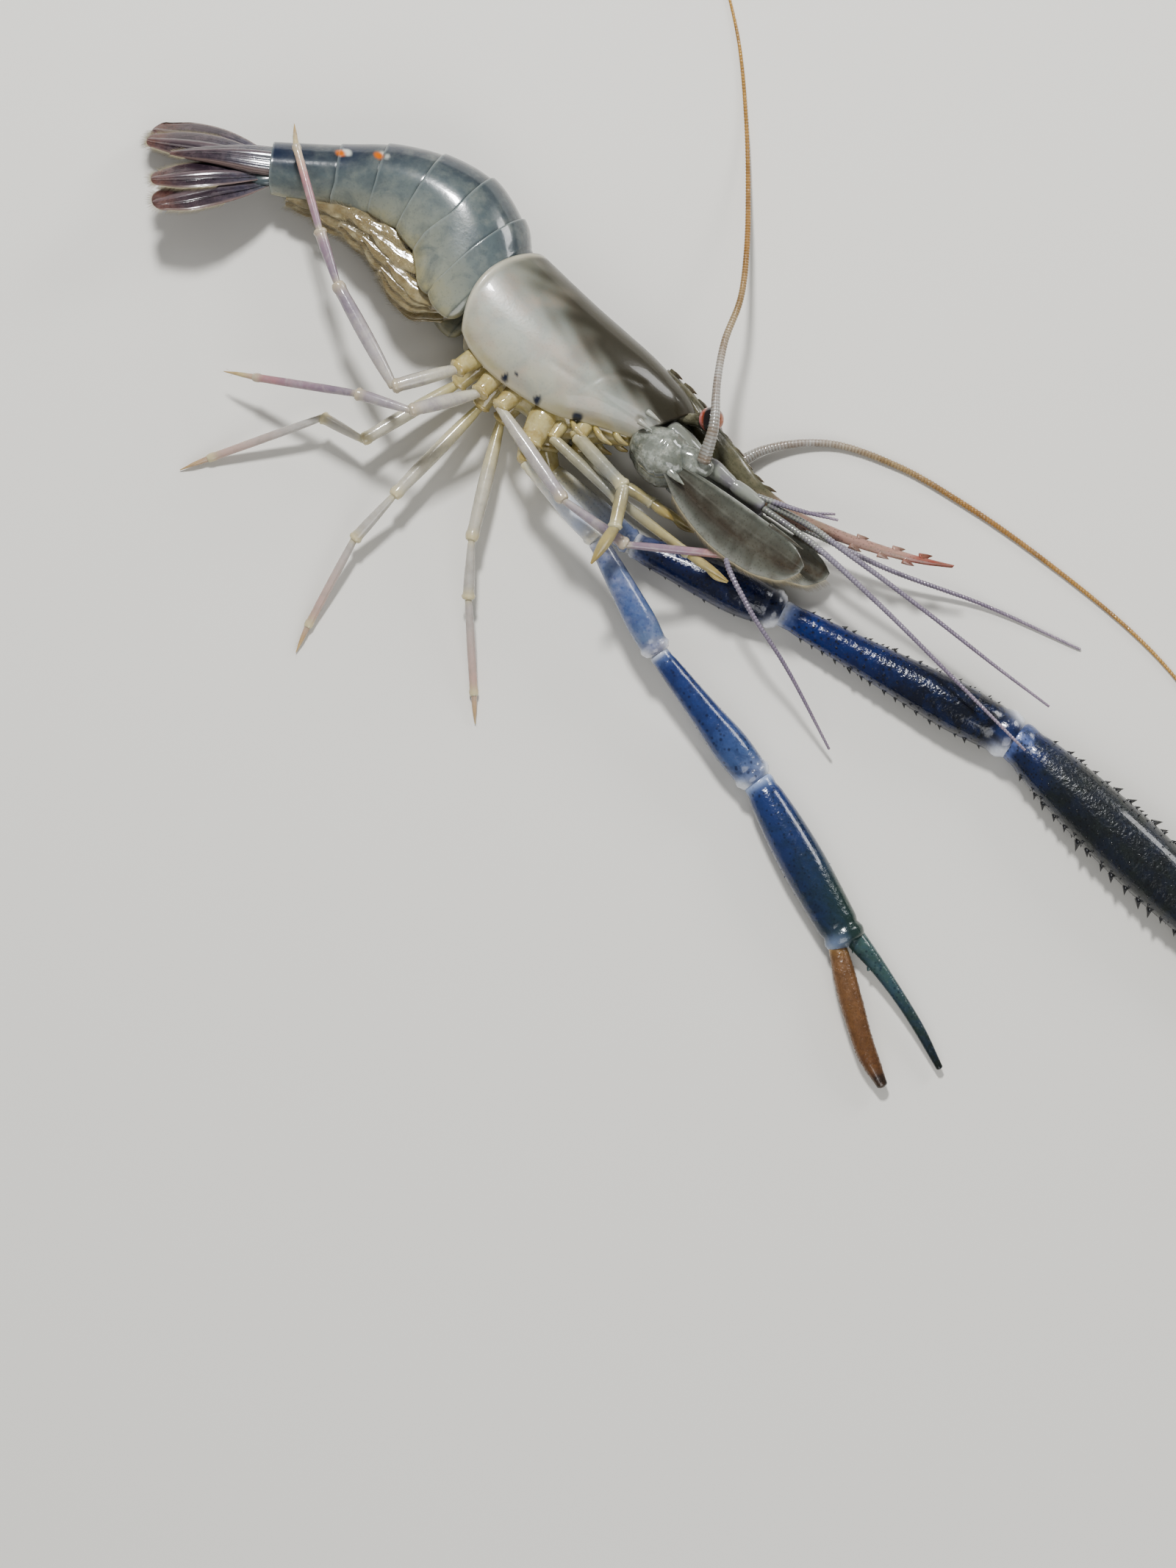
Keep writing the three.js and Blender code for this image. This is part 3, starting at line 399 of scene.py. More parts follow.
def cuticle(name, stops, field="along", clouds=(), specks=None, marks=None, rough=0.22,
            coat=0.6, relief=0.1, relief_mm=0.9, flesh=0.15, waver=0.2, clear=0.0):
    """Wet shell. Colours run along a field; clouds, specks and marked places lie over them.

    Stops are colours by percentage along the field, marks are colours by the field that places
    them, and clouds and specks are (colour, size, share)."""
    material = bpy.data.materials.new(name)
    material.use_nodes = True
    tree = material.node_tree
    shader = tree.nodes["Principled BSDF"]
    where = add_node(tree, "ShaderNodeTexCoord").outputs["Object"]
    line = add_node(tree, "ShaderNodeAttribute", attribute_name=field)
    drift = add_node(tree, "ShaderNodeTexNoise", {
        "Vector": where, "Scale": per_metre(DRIFT_SIZE), "Detail": 3.0})
    shift = add_node(tree, "ShaderNodeMath", {
        0: drift.outputs["Fac"], 1: waver, 2: -waver / 2}, operation="MULTIPLY_ADD")
    place = add_node(tree, "ShaderNodeMath", {
        0: line.outputs["Fac"], 1: shift.outputs[0]}, operation="ADD")
    band = add_node(tree, "ShaderNodeValToRGB", {"Fac": place.outputs[0]}, stops=stops)
    colour = band.outputs["Color"]
    layers = []
    for k, (tint, size, share) in enumerate(clouds):
        cloud = add_node(tree, "ShaderNodeTexNoise", {
            "Vector": where, "Scale": per_metre(size), "Detail": 4.0, "Roughness": 0.6,
            "Distortion": 0.6 * k})
        part = add_node(tree, "ShaderNodeMapRange", {
            "Value": cloud.outputs["Fac"], "From Min": CLOUD_START, "From Max": CLOUD_FULL,
            "To Max": share})
        layers.append((part.outputs[0], tint))
    if specks:
        tint, size, share = specks
        grain = add_node(tree, "ShaderNodeTexVoronoi", {"Vector": where, "Scale": per_metre(size)})
        part = add_node(tree, "ShaderNodeMapRange", {
            "Value": grain.outputs["Distance"], "From Min": SPECK_EDGE, "From Max": SPECK_CORE,
            "To Max": share})
        layers.append((part.outputs[0], tint))
    for mark, tint in (marks or {}).items():
        part = add_node(tree, "ShaderNodeAttribute", attribute_name=mark)
        layers.append((part.outputs["Fac"], tint))
    for part, tint in layers:
        colour = add_node(tree, "ShaderNodeMix", {
            0: part, 6: colour, 7: (*linear(tint), 1)}, data_type="RGBA").outputs[2]
    tree.links.new(colour, shader.inputs["Base Color"])
    if relief:
        rise = add_node(tree, "ShaderNodeTexNoise", {
            "Vector": where, "Scale": per_metre(relief_mm), "Detail": 3.0})
        dent = add_node(tree, "ShaderNodeBump", {
            "Height": rise.outputs["Fac"], "Strength": relief, "Distance": DENT_DEPTH * MM})
        tree.links.new(dent.outputs["Normal"], shader.inputs["Normal"])
    shader.inputs["Roughness"].default_value = rough
    shader.inputs["IOR"].default_value = 1.5
    shader.inputs["Coat Weight"].default_value = coat
    shader.inputs["Coat Roughness"].default_value = 0.05
    shader.inputs["Subsurface Weight"].default_value = flesh
    shader.inputs["Subsurface Radius"].default_value = (1.0, 0.8, 0.6)
    shader.inputs["Subsurface Scale"].default_value = LIGHT_DEPTH * MM
    shader.inputs["Transmission Weight"].default_value = clear


def make_materials(colours):
    # Thin wet cuticle over pale flesh: cream flank with rosy clouds, brownish olive back.
    cuticle("head_shell_cuticle", {0: "#A89F78", 8: "#B3AF9C", 30: colours.shell, 60: "#8F9188",
            100: "#7A7868"}, field="height", clouds=[("#B5937E", 9, 0.3), ("#87918F", 7, 0.35)],
            specks=("#6B6856", 1.1, 0.1), marks={"back": colours.back, "rim": "#C8C3B0",
            "spot": "#232A3C"}, flesh=0.3, waver=0.15, rough=0.3, coat=0.35)
    # Clearer cuticle of the tail: cream lobes, grey-blue flank, dark blue over the hind back, and
    # painted shade in a dark band where each ring starts under the one before.
    cuticle("abdomen_cuticle", {0: "#958F6E", 14: "#8A8D80", 40: "#6E7674", 62: colours.abdomen,
            85: "#424A4E", 100: "#31383D"}, field="height", clouds=[("#8E9288", 5, 0.35),
            ("#4A5459", 6, 0.5)], specks=("#3E474E", 0.9, 0.15), marks={"dusk": "#12213F",
            "fold": "#2E383E", "rim": "#8F9896", "pale": "#D9DCD2", "spot": "#C46A14"}, flesh=0.25)
    # Dusky purple-brown blades with paler roots and a clear brownish edge.
    cuticle("fan_cuticle", {0: "#6F757A", 20: "#575461", 55: "#40353F", 85: "#4A3A40",
            100: "#6A4A42"}, clouds=[("#7A6A6C", 3, 0.35), ("#1F1A24", 2, 0.4)],
            specks=("#231E2B", 0.7, 0.4), marks={"rib": "#857678", "rim": "#8E7A72"}, flesh=0.1,
            waver=0.06, clear=0.2)
    # Keeled blade: olive at the root, pinkish tan, then a reddish tip.
    cuticle("rostrum_cuticle", {0: "#3D3B2A", 42: "#565440", 55: "#8C7468", 85: "#B08C80",
            100: "#8A3526"}, clouds=[("#7C745C", 3, 0.4)], specks=("#2E2C20", 0.8, 0.4),
            marks={"tooth": "#3A2A1E"})
    # Soft yellowish skin between the legs, with brown folds.
    cuticle("underside_skin", {0: "#AF9D5A", 50: "#B9AE80", 100: "#B5A56E"},
            clouds=[("#8C7340", 4, 0.5), ("#C8C09C", 2.5, 0.5)], rough=0.15, coat=1.0, flesh=0.35,
            relief=0.5, relief_mm=1.6)
    # Clear brownish-cream blades of the swimming legs.
    cuticle("swimming_leg_cuticle", {0: "#BDAF86", 50: "#B3A47C", 100: "#978868"},
            clouds=[("#D2C9A8", 3, 0.6), ("#7A6848", 2, 0.35)], specks=("#6A5636", 0.9, 0.2),
            flesh=0.3, rough=0.12, coat=1.0, relief=0.8, relief_mm=1.8, clear=0.45)
    # Glassy grey shell of the feeler bases, with pale streaks of flesh inside.
    cuticle("feeler_base_cuticle", {0: "#7E8279", 50: "#9A9E95", 100: "#868A80"},
            clouds=[("#D5D8CE", 2.6, 0.7), ("#5F6357", 4, 0.5)], specks=("#55584C", 0.9, 0.3),
            flesh=0.35, coat=1.0, rough=0.12, relief=0.3, relief_mm=2.5, clear=0.25)
    # Thin dark shell of the eye stalks, with paler clouds.
    cuticle("eye_stalk_cuticle", {0: "#6A6856", 70: "#4C4938", 100: "#2A251C"},
            clouds=[("#8D8A76", 2, 0.4)], specks=("#26231A", 0.7, 0.4))
    # Flat translucent blade: clear grey margins, smoky brown middle.
    cuticle("scale_cuticle", {0: "#B9BCB4", 5: "#6E7168", 30: "#5F5E54", 55: "#4F463A",
            80: "#6C6E66", 100: "#A9ABA2"}, field="across", clouds=[("#8A8C80", 6, 0.4),
            ("#423A2C", 5, 0.4)], specks=("#3E392C", 0.8, 0.3), flesh=0.15, waver=0.1, clear=0.35)
    # Hard ivory shell, lavender in the middle and rosy towards the far end, cream at each joint.
    cuticle("far_leg_cuticle", {0: "#BDB9A6", 30: "#A9A3A4", 50: "#857A86", 70: "#957D8A",
            84: "#B48483", 93: "#C0B28C", 100: "#A98A50"}, clouds=[("#7A6F7E", 3, 0.35),
            ("#C4BFB2", 4, 0.35)], specks=("#857B8C", 1.0, 0.15), marks={"joint": "#B5AA96"},
            flesh=0.3, waver=0.1, relief=0.25)
    # The same shell on the legs below, greyer in the middle.
    cuticle("near_leg_cuticle", {0: "#BCB17C", 20: "#C3BEAC", 60: "#AFACA8", 85: "#B89E94",
            100: "#B09662"}, clouds=[("#969088", 3, 0.35)], marks={"joint": "#C4BA98"}, flesh=0.3,
            waver=0.1, relief=0.25)
    # Small legs by the mouth: grey glass, then straw yellow.
    cuticle("feeding_leg_cuticle", {0: "#A9A284", 35: "#8E8F86", 60: "#A39A74", 85: "#B2A472",
            100: "#AC975A"}, clouds=[("#77746A", 3, 0.4)], marks={"joint": "#BCB594"}, flesh=0.3,
            waver=0.1, relief=0.25)
    # Right arm: ivory, then lavender, then cobalt that turns to deep teal at the hand.
    cuticle("right_ischium_cuticle", {0: "#D4CDAA", 30: "#DEDCD2", 80: "#C3CAD8", 100: "#DAD6C6"},
            clouds=[("#A7AEBE", 4, 0.5)], specks=("#8A93A6", 0.9, 0.2), flesh=0.3)
    cuticle("right_merus_cuticle", {0: "#9E9CA2", 20: "#6C7A9A", 60: "#52658F", 90: "#667794",
            100: "#94939C"}, clouds=[("#8C90A8", 4, 0.5), ("#404E7A", 3, 0.45)],
            specks=("#2A3F7C", 1.2, 0.3), marks={"joint": "#CDD0D8"}, flesh=0.25, relief=0.7,
            relief_mm=1.1)
    cuticle("right_carpus_cuticle", {0: "#53648E", 10: colours.cobalt, 55: "#293E70", 85: "#435880",
            100: "#7883A0"}, clouds=[("#4A5C88", 5, 0.35), ("#18264C", 3, 0.5)],
            specks=("#0A1436", 1.6, 0.7), marks={"joint": "#CDD2DA"}, flesh=0.12, relief=0.7,
            relief_mm=1.1)
    cuticle("right_palm_cuticle", {0: "#64769C", 5: "#25396A", 30: "#1D2D54", 50: "#182740",
            60: "#213440", 66: "#47605E", 80: "#3A5252", 93: "#222E2E", 97: "#0A0D0C",
            100: "#060706"}, clouds=[("#182A2A", 6, 0.5), ("#2A4070", 4, 0.3)],
            specks=("#0B1630", 1.2, 0.6), marks={"teal": "#22382E", "joint": "#A9BADB"}, flesh=0.06,
            waver=0.05, relief=0.7, relief_mm=1.1)
    # Left arm: ink blue, nearly black on the hand, with ivory knobs at the joints.
    cuticle("left_ischium_cuticle", {0: "#CFC7A4", 40: "#C6C6C0", 80: "#76829F", 100: "#5C6A92"},
            clouds=[("#A7AEBE", 4, 0.5)], specks=("#5A6484", 0.9, 0.3), flesh=0.25)
    cuticle("left_merus_cuticle", {0: "#6B7496", 20: "#17234E", 80: colours.navy, 100: "#142040"},
            clouds=[("#080F22", 5, 0.7), ("#203468", 4, 0.35)], specks=("#060A1C", 1.4, 0.6),
            marks={"joint": "#D6D8DE"}, flesh=0.06, relief=0.9, relief_mm=1.1)
    cuticle("left_carpus_cuticle", {0: "#6C7EAE", 5: "#142A66", 35: "#102150", 62: "#0A132A",
            90: "#090F18", 100: "#1E2A4E"}, clouds=[("#090F22", 6, 0.6), ("#1A3672", 4, 0.3)],
            specks=("#04060E", 1.5, 0.7), marks={"joint": "#D2D6E0"}, relief=0.9, relief_mm=1.1,
            flesh=0.04)
    cuticle("left_palm_cuticle", {0: "#6C7EB4", 4: "#16254E", 14: "#10171E", 100: "#0B0F0D"},
            clouds=[("#1E261F", 5, 0.6), ("#13203E", 7, 0.4)], specks=("#030404", 1.1, 0.7),
            relief=1.0, relief_mm=1.2, flesh=0, rough=0.3)
    # Hard glassy spines, and hairs too fine for any pattern: dull brown felt, straw fringes.
    for name, code, rough, coat in (
            ("dark_spine_cuticle", "#0E1119", 0.22, 0.6),
            ("blue_spine_cuticle", "#16265C", 0.22, 0.6),
            ("velvet_hair", "#664424", 0.45, 0.4),
            ("bristle_hair", "#A99F86", 0.4, 0.2)):
        cuticle(name, {0: code, 100: code}, flesh=0, relief=0, rough=rough, coat=coat)
    # Clear bluish skin that shows where two lengths of an arm meet.
    cuticle("joint_membrane", {0: "#C2C0B8", 100: "#A9AFBE"}, clouds=[("#8A8478", 2, 0.6)],
            rough=0.15, flesh=0.4, relief=0.4)
    # Rings of the long feelers: clear grey near the head, then golden brown.
    cuticle("feeler_cuticle", {0: "#8E8F8A", 16: "#A6A4A0", 30: "#A08C66", 45: colours.feeler,
            100: "#B7914E"}, clouds=[("#6E4E26", 5, 0.5)], marks={"ring": "#5B4220"}, flesh=0.1,
            relief=0, waver=0.05)
    # Rings of the short feelers: grey at the base, then dusty mauve.
    cuticle("short_feeler_cuticle", {0: "#7A7D74", 18: "#8C8F86", 22: "#8A8590", 70: "#776B7C",
            100: "#958894"}, clouds=[("#6D6476", 4, 0.5)], marks={"ring": "#574C60"}, flesh=0.1,
            relief=0)
    # Felt of fine brown hairs, wet and shining, with a bare dark tip.
    cuticle("velvet_skin", {0: "#A8966C", 5: "#8A6A40", 12: colours.velvet, 90: "#5E3C20",
            95: "#22150F", 100: "#0C0907"}, clouds=[("#4A3118", 3, 0.5), ("#8A6238", 4, 0.3)],
            rough=0.3, coat=0.9, flesh=0, relief=0.8, relief_mm=0.9, waver=0.02)
    # Glossy black ball; the pink and copper round its rim is painted eyeshine, a reflection painted
    # into its colour.
    cuticle("eye_cornea", {0: "#9A5038", 20: "#D89494", 36: "#9A4A34", 45: "#1E0E0E", 72: "#140A0A",
            86: "#6E3420", 100: "#A8603C"}, field="height", rough=0.05, coat=1.0, relief=0, flesh=0,
            waver=0)


# The shell over head and thorax: place along X, back, lower edge, share of the half width, lean.
CARAPACE_LENGTH = 58
CARAPACE_HALF_WIDTH = 15
MARGIN_BULGE = 7
CARAPACE_STATIONS = [
    [57.5, 8.4, -8.2, 0.46, 0.5], [54.5, 9.8, -9.8, 0.56, 0.45], [48, 11.4, -12.2, 0.72, 0.32],
    [40, 12.6, -14.6, 0.86, 0.16], [30, 13.1, -17.4, 0.96, 0], [20, 13.5, -19.3, 1, 0],
    [10, 14.2, -19.4, 1, 0], [3, 14.8, -17.4, 0.97, 0], [0, 15, -15.6, 0.94, 0],
]
CARAPACE_OUTLINE = [
    [1, 0], [0.94, 0.32], [0.76, 0.62], [0.46, 0.84], [0.08, 0.97], [-0.3, 1], [-0.62, 0.94],
    [-0.86, 0.8], [-1, 0.6], [-0.93, 0.44], [-0.78, 0],
]
# Each dark spot near the lower edge: its place, half length and half height.
DARK_SPOTS = [
    (14.7, -18.4, 0.75, 0.8), (24.8, -17.5, 0.8, 0.85), (35.5, -14.4, 1.0, 1.25),
    (16.6, -16.2, 0.3, 0.35),
]
# Furrows of the shell, as places and heights on the flank.
FURROWS = [
    [(50, -3.4), (44, -4.6), (34, -6.6), (22, -8.2)],
    [(43, 3.4), (38, 1.5), (34, -2.5), (33, -6.5)],
]
FURROW_DEPTH = 0.28
FURROW_WIDTH = 0.8


def furrow_depth(x, y):
    """How deep the shell dips where its furrows run, in millimetres."""
    depth = np.zeros_like(x)
    for furrow in FURROWS:
        line = smooth_path([(*corner, 0) for corner in furrow], 30)
        far = np.min(np.hypot(x[..., None] - line[:, 0], y[..., None] - line[:, 1]), -1)
        depth = np.maximum(depth, FURROW_DEPTH * hump(far, 0, FURROW_WIDTH))
    return depth


def make_carapace():
    height, across = closed_outline(CARAPACE_OUTLINE, 144).T
    table = np.array(CARAPACE_STATIONS)[::-1]
    x = np.concatenate([[0, 0.25, 0.6], np.linspace(1, 56.9, 110), [57.2, 57.5]])
    x, back, lower, share, lean = smooth_values(table[:, 0], table, x).T
    half = (back - lower) / 2
    bulge = MARGIN_BULGE * np.maximum(0, 1 - x / (0.5 * CARAPACE_LENGTH))
    bow = 1 - (0.9 * height + 0.1) ** 2
    px = x[:, None] - (lean * half)[:, None] * (1 - height) - bulge[:, None] * bow
    py = ((back + lower) / 2)[:, None] + half[:, None] * height
    hem = hump(height, -0.99, 0.05)[None, :]
    rear = hump(x, 0.7, 0.8)[:, None]
    rim = np.maximum(np.broadcast_to(hem, px.shape), np.broadcast_to(rear, px.shape))
    tuck = 1 - 0.03 * np.maximum(0, 1 - x / 0.5)[:, None]
    pz = (CARAPACE_HALF_WIDTH * share)[:, None] * across * (1 + 0.02 * rim) * tuck
    pz -= np.sign(across) * furrow_depth(px, py)
    rings = np.stack([px, py, MIDLINE_HEIGHT + pz], -1)
    spot = np.zeros_like(px)
    for k, (sx, sy, long, tall) in enumerate(DARK_SPOTS):
        ragged = 1 + 0.16 * np.sin(3 * np.arctan2(py - sy, px - sx) + k)
        far = 1.6 * np.hypot((px - sx) / long, (py - sy) / tall) * ragged
        spot = np.maximum(spot, np.clip(2.4 - far, 0, 1))
    # The olive of the back reaches lower towards the front, and its edge is cloudy.
    front = np.clip((px - 8) / 46, 0, 1)
    olive = 0.42 + 0.4 * height + front * (0.12 + 0.42 * np.clip(height + 0.55, 0, 1))
    cloudy = 0.06 * np.sin(px * 0.5 + 2 * np.sin(py * 0.4)) * np.sin(py * 0.7 + 1)
    dark = np.clip((olive + cloudy - 0.45) / 0.4, 0, 1)
    form = skin(rings, {
        "height": np.clip(0.5 + 0.5 * height, 0, 1) * np.ones_like(px),
        "back": 0.98 * dark**2 * (3 - 2 * dark), "spot": spot * (pz > 0), "rim": 0.6 * rim})
    spines = [rod(flanked([(48.5, y, out), (52.6, y, out + 0.8)], flank), [0.9, 0.6, 0.1], steps=8,
                  sides=10).fill("height", 0.45)
              for flank in (1, -1) for y, out in ((-1.2, 8.8), (-4.6, 9.6))]
    add_piece("head_shell", joined([form, *spines]), "head_shell_cuticle", "carapace_shell",
              ["carapace"])


# The toothed blade over the eyes: place, middle, half depth, half thickness.
ROSTRUM_BLADE = [
    [44, 11.2, 1.6, 1.6], [53, 9.4, 2.6, 1.9], [62, 6.2, 3.6, 1.7], [72, 3.6, 4.1, 1.4],
    [82, 1.9, 3.2, 1.2], [92, 3, 2.1, 1.05], [104, 6.4, 1.7, 0.95], [118, 11.7, 1.4, 0.8],
    [128, 16.4, 1, 0.65], [134, 19.8, 0.5, 0.45],
]
UPPER_TEETH = [46, 51, 56, 61, 66, 70.5, 75, 79.5, 84, 112, 121, 127.5]
LOWER_TEETH = [76, 83, 90, 97, 104, 111, 118, 124]


def make_rostrum():
    table = np.array(ROSTRUM_BLADE)
    start, end, sides = table[0, 0], table[-1, 0], 28
    x, y, deep, thick = smooth_values(table[:, 0], table, np.linspace(start, end, 140)).T
    angle = round_angles(sides)
    keel = np.sign(np.sin(angle)) * np.abs(np.sin(angle)) ** 0.8
    wide = np.sign(np.cos(angle)) * np.abs(np.cos(angle)) ** 1.5
    ridge = 1 + 0.4 * hump(np.sin(angle), 0, 0.2)
    rings = np.stack([
        np.repeat(x[:, None], sides, 1), y[:, None] + deep[:, None] * keel,
        MIDLINE_HEIGHT + thick[:, None] * wide * ridge], -1)
    forms = [skin(rings, {"along": ((x - start) / (end - start))[:, None]})]
    slope = np.gradient(y, x)
    for row, flank in ((UPPER_TEETH, 1), (LOWER_TEETH, -1)):
        for k, at in enumerate(row):
            level, depth, rise = (float(np.interp(at, x, values)) for values in (y, deep, slope))
            way = unit([1.0, rise, 0.0])
            out = np.array([-way[1], way[0], 0]) * flank
            size = (2.3 if flank > 0 and at < 100 else 1.5) * (0.9 + 0.1 * (k % 3))
            root = np.array([at, level, MIDLINE_HEIGHT]) + out * depth * 0.6
            path = [root - way * 1.2, root + out * size * 0.5 + way * size * 0.2,
                    root + out * size * 0.72 + way * size]
            tooth = rod(path, [1.5, 0.7, 0.08], depth=0.5, steps=10, sides=10, cap=0.3)
            tooth.fields["tooth"] = tooth.fields["along"] * 0.8
            forms.append(tooth.fill("along", (at - start) / (end - start)))
    add_piece("rostrum_blade", joined(forms), "rostrum_cuticle", "rostrum", ["rostrum"])


# Rings of the abdomen: middle of each joint, half depth, half width, height and roll.
ABDOMEN_JOINTS = [
    [-5, -0.4, 15.2, 13.2, 14.6, 0], [-13, 3.4, 15.6, 13.8, 14.2, 2],
    [-23.4, 8.2, 14.2, 13.4, 13.8, 5], [-35.3, 8.4, 11.6, 12, 13.2, 11],
    [-47, 4.8, 9, 10.2, 12.4, 20], [-56.6, -0.8, 7, 8.4, 11.6, 32],
    [-71.4, -10.8, 5.6, 6.8, 11.4, 46],
]
JOINT_WAYS = [4, 12, 2, -8, -24, -32, -34]
PLEURON_REACH = [0.1, 0.16, 0.1, 0.08, 0.1, 0.06]
# How far each ring's lobe spreads over its neighbours. The second lies over the first and third.
LOBE_SPREAD = [-0.06, 0.2, 0.02, 0.04, 0.05, -0.04]
SOMITE_OUTLINE = [
    [1, 0], [0.93, 0.38], [0.7, 0.72], [0.3, 0.95], [-0.2, 1], [-0.66, 0.93], [-1, 0.74],
    [-0.9, 0.58], [-0.5, 0.42], [-0.42, 0],
]
ORANGE_SPOTS = [(-58.6, 1.6), (-50.0, 7.0)]
ORANGE_LENGTH, ORANGE_HEIGHT = 1.1, 0.75


def abdomen_place(joint):
    """Middle, axes, half depth and half width at joint numbers from 0 to 6."""
    joint = np.atleast_1d(np.asarray(joint, float))
    keys = np.arange(len(ABDOMEN_JOINTS))
    inside = np.clip(joint, 0, 6)
    x, y, depth, width, height, roll = smooth_values(keys, ABDOMEN_JOINTS, inside).T
    way = smooth_values(keys, np.array(JOINT_WAYS, float), inside) * DEGREE
    forward = np.stack([np.cos(way), -np.sin(way), np.zeros_like(way)], -1)
    back = np.stack([np.sin(way), np.cos(way), np.zeros_like(way)], -1)
    turn = roll * DEGREE
    up = back * np.cos(turn)[:, None] + UP * np.sin(turn)[:, None]
    side = unit(np.cross(forward, up))
    middle = np.stack([x, y, height], -1) - forward * ((joint - inside) * 10)[:, None]
    return middle, forward, up, side, depth, width


def make_abdomen():
    height, across = closed_outline(SOMITE_OUTLINE, 112).T
    low = np.clip((-height - 0.05) / 0.6, 0, 1)
    lobed = np.clip((-height - 0.55) / 0.35, 0, 1)
    # Each ring starts under the one before it and ends in a lip that turns in.
    u = np.concatenate([np.linspace(-0.14, 1.05, 40), [1.06, 1.05, 0.96]])
    swell = np.interp(u, [-0.14, 0.08, 0.6, 1.05], [0.94, 0.99, 1.015, 1.04])
    swell[-3:] = [1.03, 1.0, 0.96]
    lobe = np.sqrt(np.clip(1 - (1.6 * (u - 0.5)) ** 2, 0, 1))
    for number in range(1, 7):
        spread = 1 + 2 * LOBE_SPREAD[number - 1] * low
        wide_u = 0.5 + (u[:, None] - 0.5) * spread[None, :]
        shape = wide_u.shape
        placed = abdomen_place((number - 1 + wide_u).reshape(-1))
        middle, _, up, side, depth, width = (row.reshape(*shape, -1) for row in placed)
        reach = PLEURON_REACH[number - 1] * lobe - 0.1 * (1 - lobe)
        tall = height[None, :] - reach[:, None] * lobed
        size = swell[:, None] * (1 + (0.025 if number == 2 else 0) * low)
        rings = (middle + up * (tall * size)[..., None] * depth
                 + side * (across * size)[..., None] * width)
        spot = np.zeros(shape)
        for sx, sy in ORANGE_SPOTS:
            far = np.hypot(
                (rings[..., 0] - sx) / ORANGE_LENGTH, (rings[..., 1] - sy) / ORANGE_HEIGHT)
            spot = np.maximum(spot, np.clip(1.9 - 1.1 * far, 0, 1))
        upper = np.clip((height - 0.2) / 0.7, 0, 1)[None, :]
        band = 0.25 + 0.75 * np.clip(u, 0, 1)[:, None] ** 1.5
        above = rings[..., 2] > 10
        # The dark band at the front of each ring, where it lies under the lip of the ring before,
        # is painted shade.
        fields = {
            "height": np.clip(0.5 + 0.5 * height, 0, 1)[None, :],
            "dusk": 0.85 * np.clip((number - 2) / 3, 0, 1) * upper * band,
            "rim": 0.6 * hump(u, 1.04, 0.02)[:, None], "fold": 0.5 * hump(u, 0.075, 0.03)[:, None],
            "spot": spot * above, "pale": np.roll(spot, -4, axis=0) * 0.8 * above}
        add_piece(f"abdomen_ring_{number}", skin(rings, fields), "abdomen_cuticle", "abdomen_shell",
                  [f"somite_{number}"])


def edge_fringe(path, widths, up, first, count, lean, size=1.0):
    """Bristle roots along both edges of a flat blade, from a place on it to its tip."""
    line = smooth_path(path, count)
    along = unit(np.gradient(line, axis=0))
    out = unit(np.cross(along, up))
    wide = even_values(widths, np.linspace(0, 1, count))
    keep = slice(int(first * count), count)
    sizes = np.full(count - int(first * count), size)
    return [(line[keep] + out[keep] * (sign * wide[keep] * 0.96)[:, None],
             out[keep] * sign + along[keep] * lean, sizes) for sign in (1, -1)]


# How far each pair of swimming legs reaches, from first to last.
PLEOPOD_REACH = [0.4, 0.5, 0.7, 0.8, 0.5]
# The blades of a swimming leg: place outwards, slant and share of the width.
PLEOPOD_BLADES = [(0.4, 0.0, 1.0), (0.26, 0.05, 0.85), (0.5, -0.12, 0.7), (0.56, -0.45, 0.85)]
PLEOPOD_WIDTHS = np.array([1.5, 2.7, 2.8, 2.3, 1.6, 0.5])


def pleopod_ripple(place, angle):
    """A rib down the middle of a swimming blade, and shallow waves along it."""
    return 1 + 0.5 * hump(angle, math.pi / 2, 0.2) + 0.1 * np.cos(17 * place + 2 * angle)


def make_pleopods():
    """Swimming legs: a stem and four thin blades each, edged with bristles."""
    forms, fringe = [], []
    for number, reach in enumerate(PLEOPOD_REACH, 1):
        middle, forward, up, side, depth, width = (row[0] for row in abdomen_place(number - 0.55))
        for flank in (1, -1):
            def at(down, out, back):
                return middle - up * depth * down + side * flank * width * out - forward * back
            stem = [at(0.3, 0.34, -1), at(0.85, 0.42, 1), at(0.85 + reach * 0.5, 0.44, 3)]
            forms.append(rod(stem, [2.6, 2.3, 1.9], depth=0.6, up=side, steps=20, sides=20))
            for out, slant, share in PLEOPOD_BLADES:
                blade = [at(0.8 + reach * 0.4, out, 1),
                         at(0.96 + reach * (0.8 + slant), out - 0.04, 9),
                         at(0.92 + reach * (1 + slant), out - 0.1, 19)]
                widths = PLEOPOD_WIDTHS * share
                forms.append(rod(blade, widths, depth=0.16, up=side, steps=30, sides=24,
                                 ripple=pleopod_ripple))
                fringe += edge_fringe(blade, widths, side, 0.25, 70, 1.2, 0.8)
    add_piece("swimming_legs", joined(forms), "swimming_leg_cuticle", "underside")
    return fringe


# Tail fan. Each blade: place of its root, lift, widths, degrees of spread, share of the length.
TAIL_ROLL = 56
TELSON_LENGTH = 27
UROPOD_LENGTH = 31
FAN_BLADES = {
    "outer": {"root": 4.6, "lift": -2.2, "widths": [1.8, 4.2, 5.8, 6.5, 6.2, 4.2],
              "spread": {"right": 22, "left": 15}, "share": {"right": 0.88, "left": 0.98}},
    "inner": {"root": 3.2, "lift": -0.7, "widths": [1.6, 3.2, 4.5, 5.0, 4.7, 3.0],
              "spread": {"right": 10, "left": 7}, "share": {"right": 0.9, "left": 1}},
}
# The short roots that join the side blades to the last ring: place outwards and lift.
FAN_ROOTS = [(3.4, -1.0), (1.6, 1.6)]
TELSON_WIDTHS = [5.2, 4.9, 4.1, 3.1, 2.2, 0.8]
TELSON_THICKNESS = 2.6
UROPOD_THICKNESS = 0.62
RIM_BRISTLES = 60


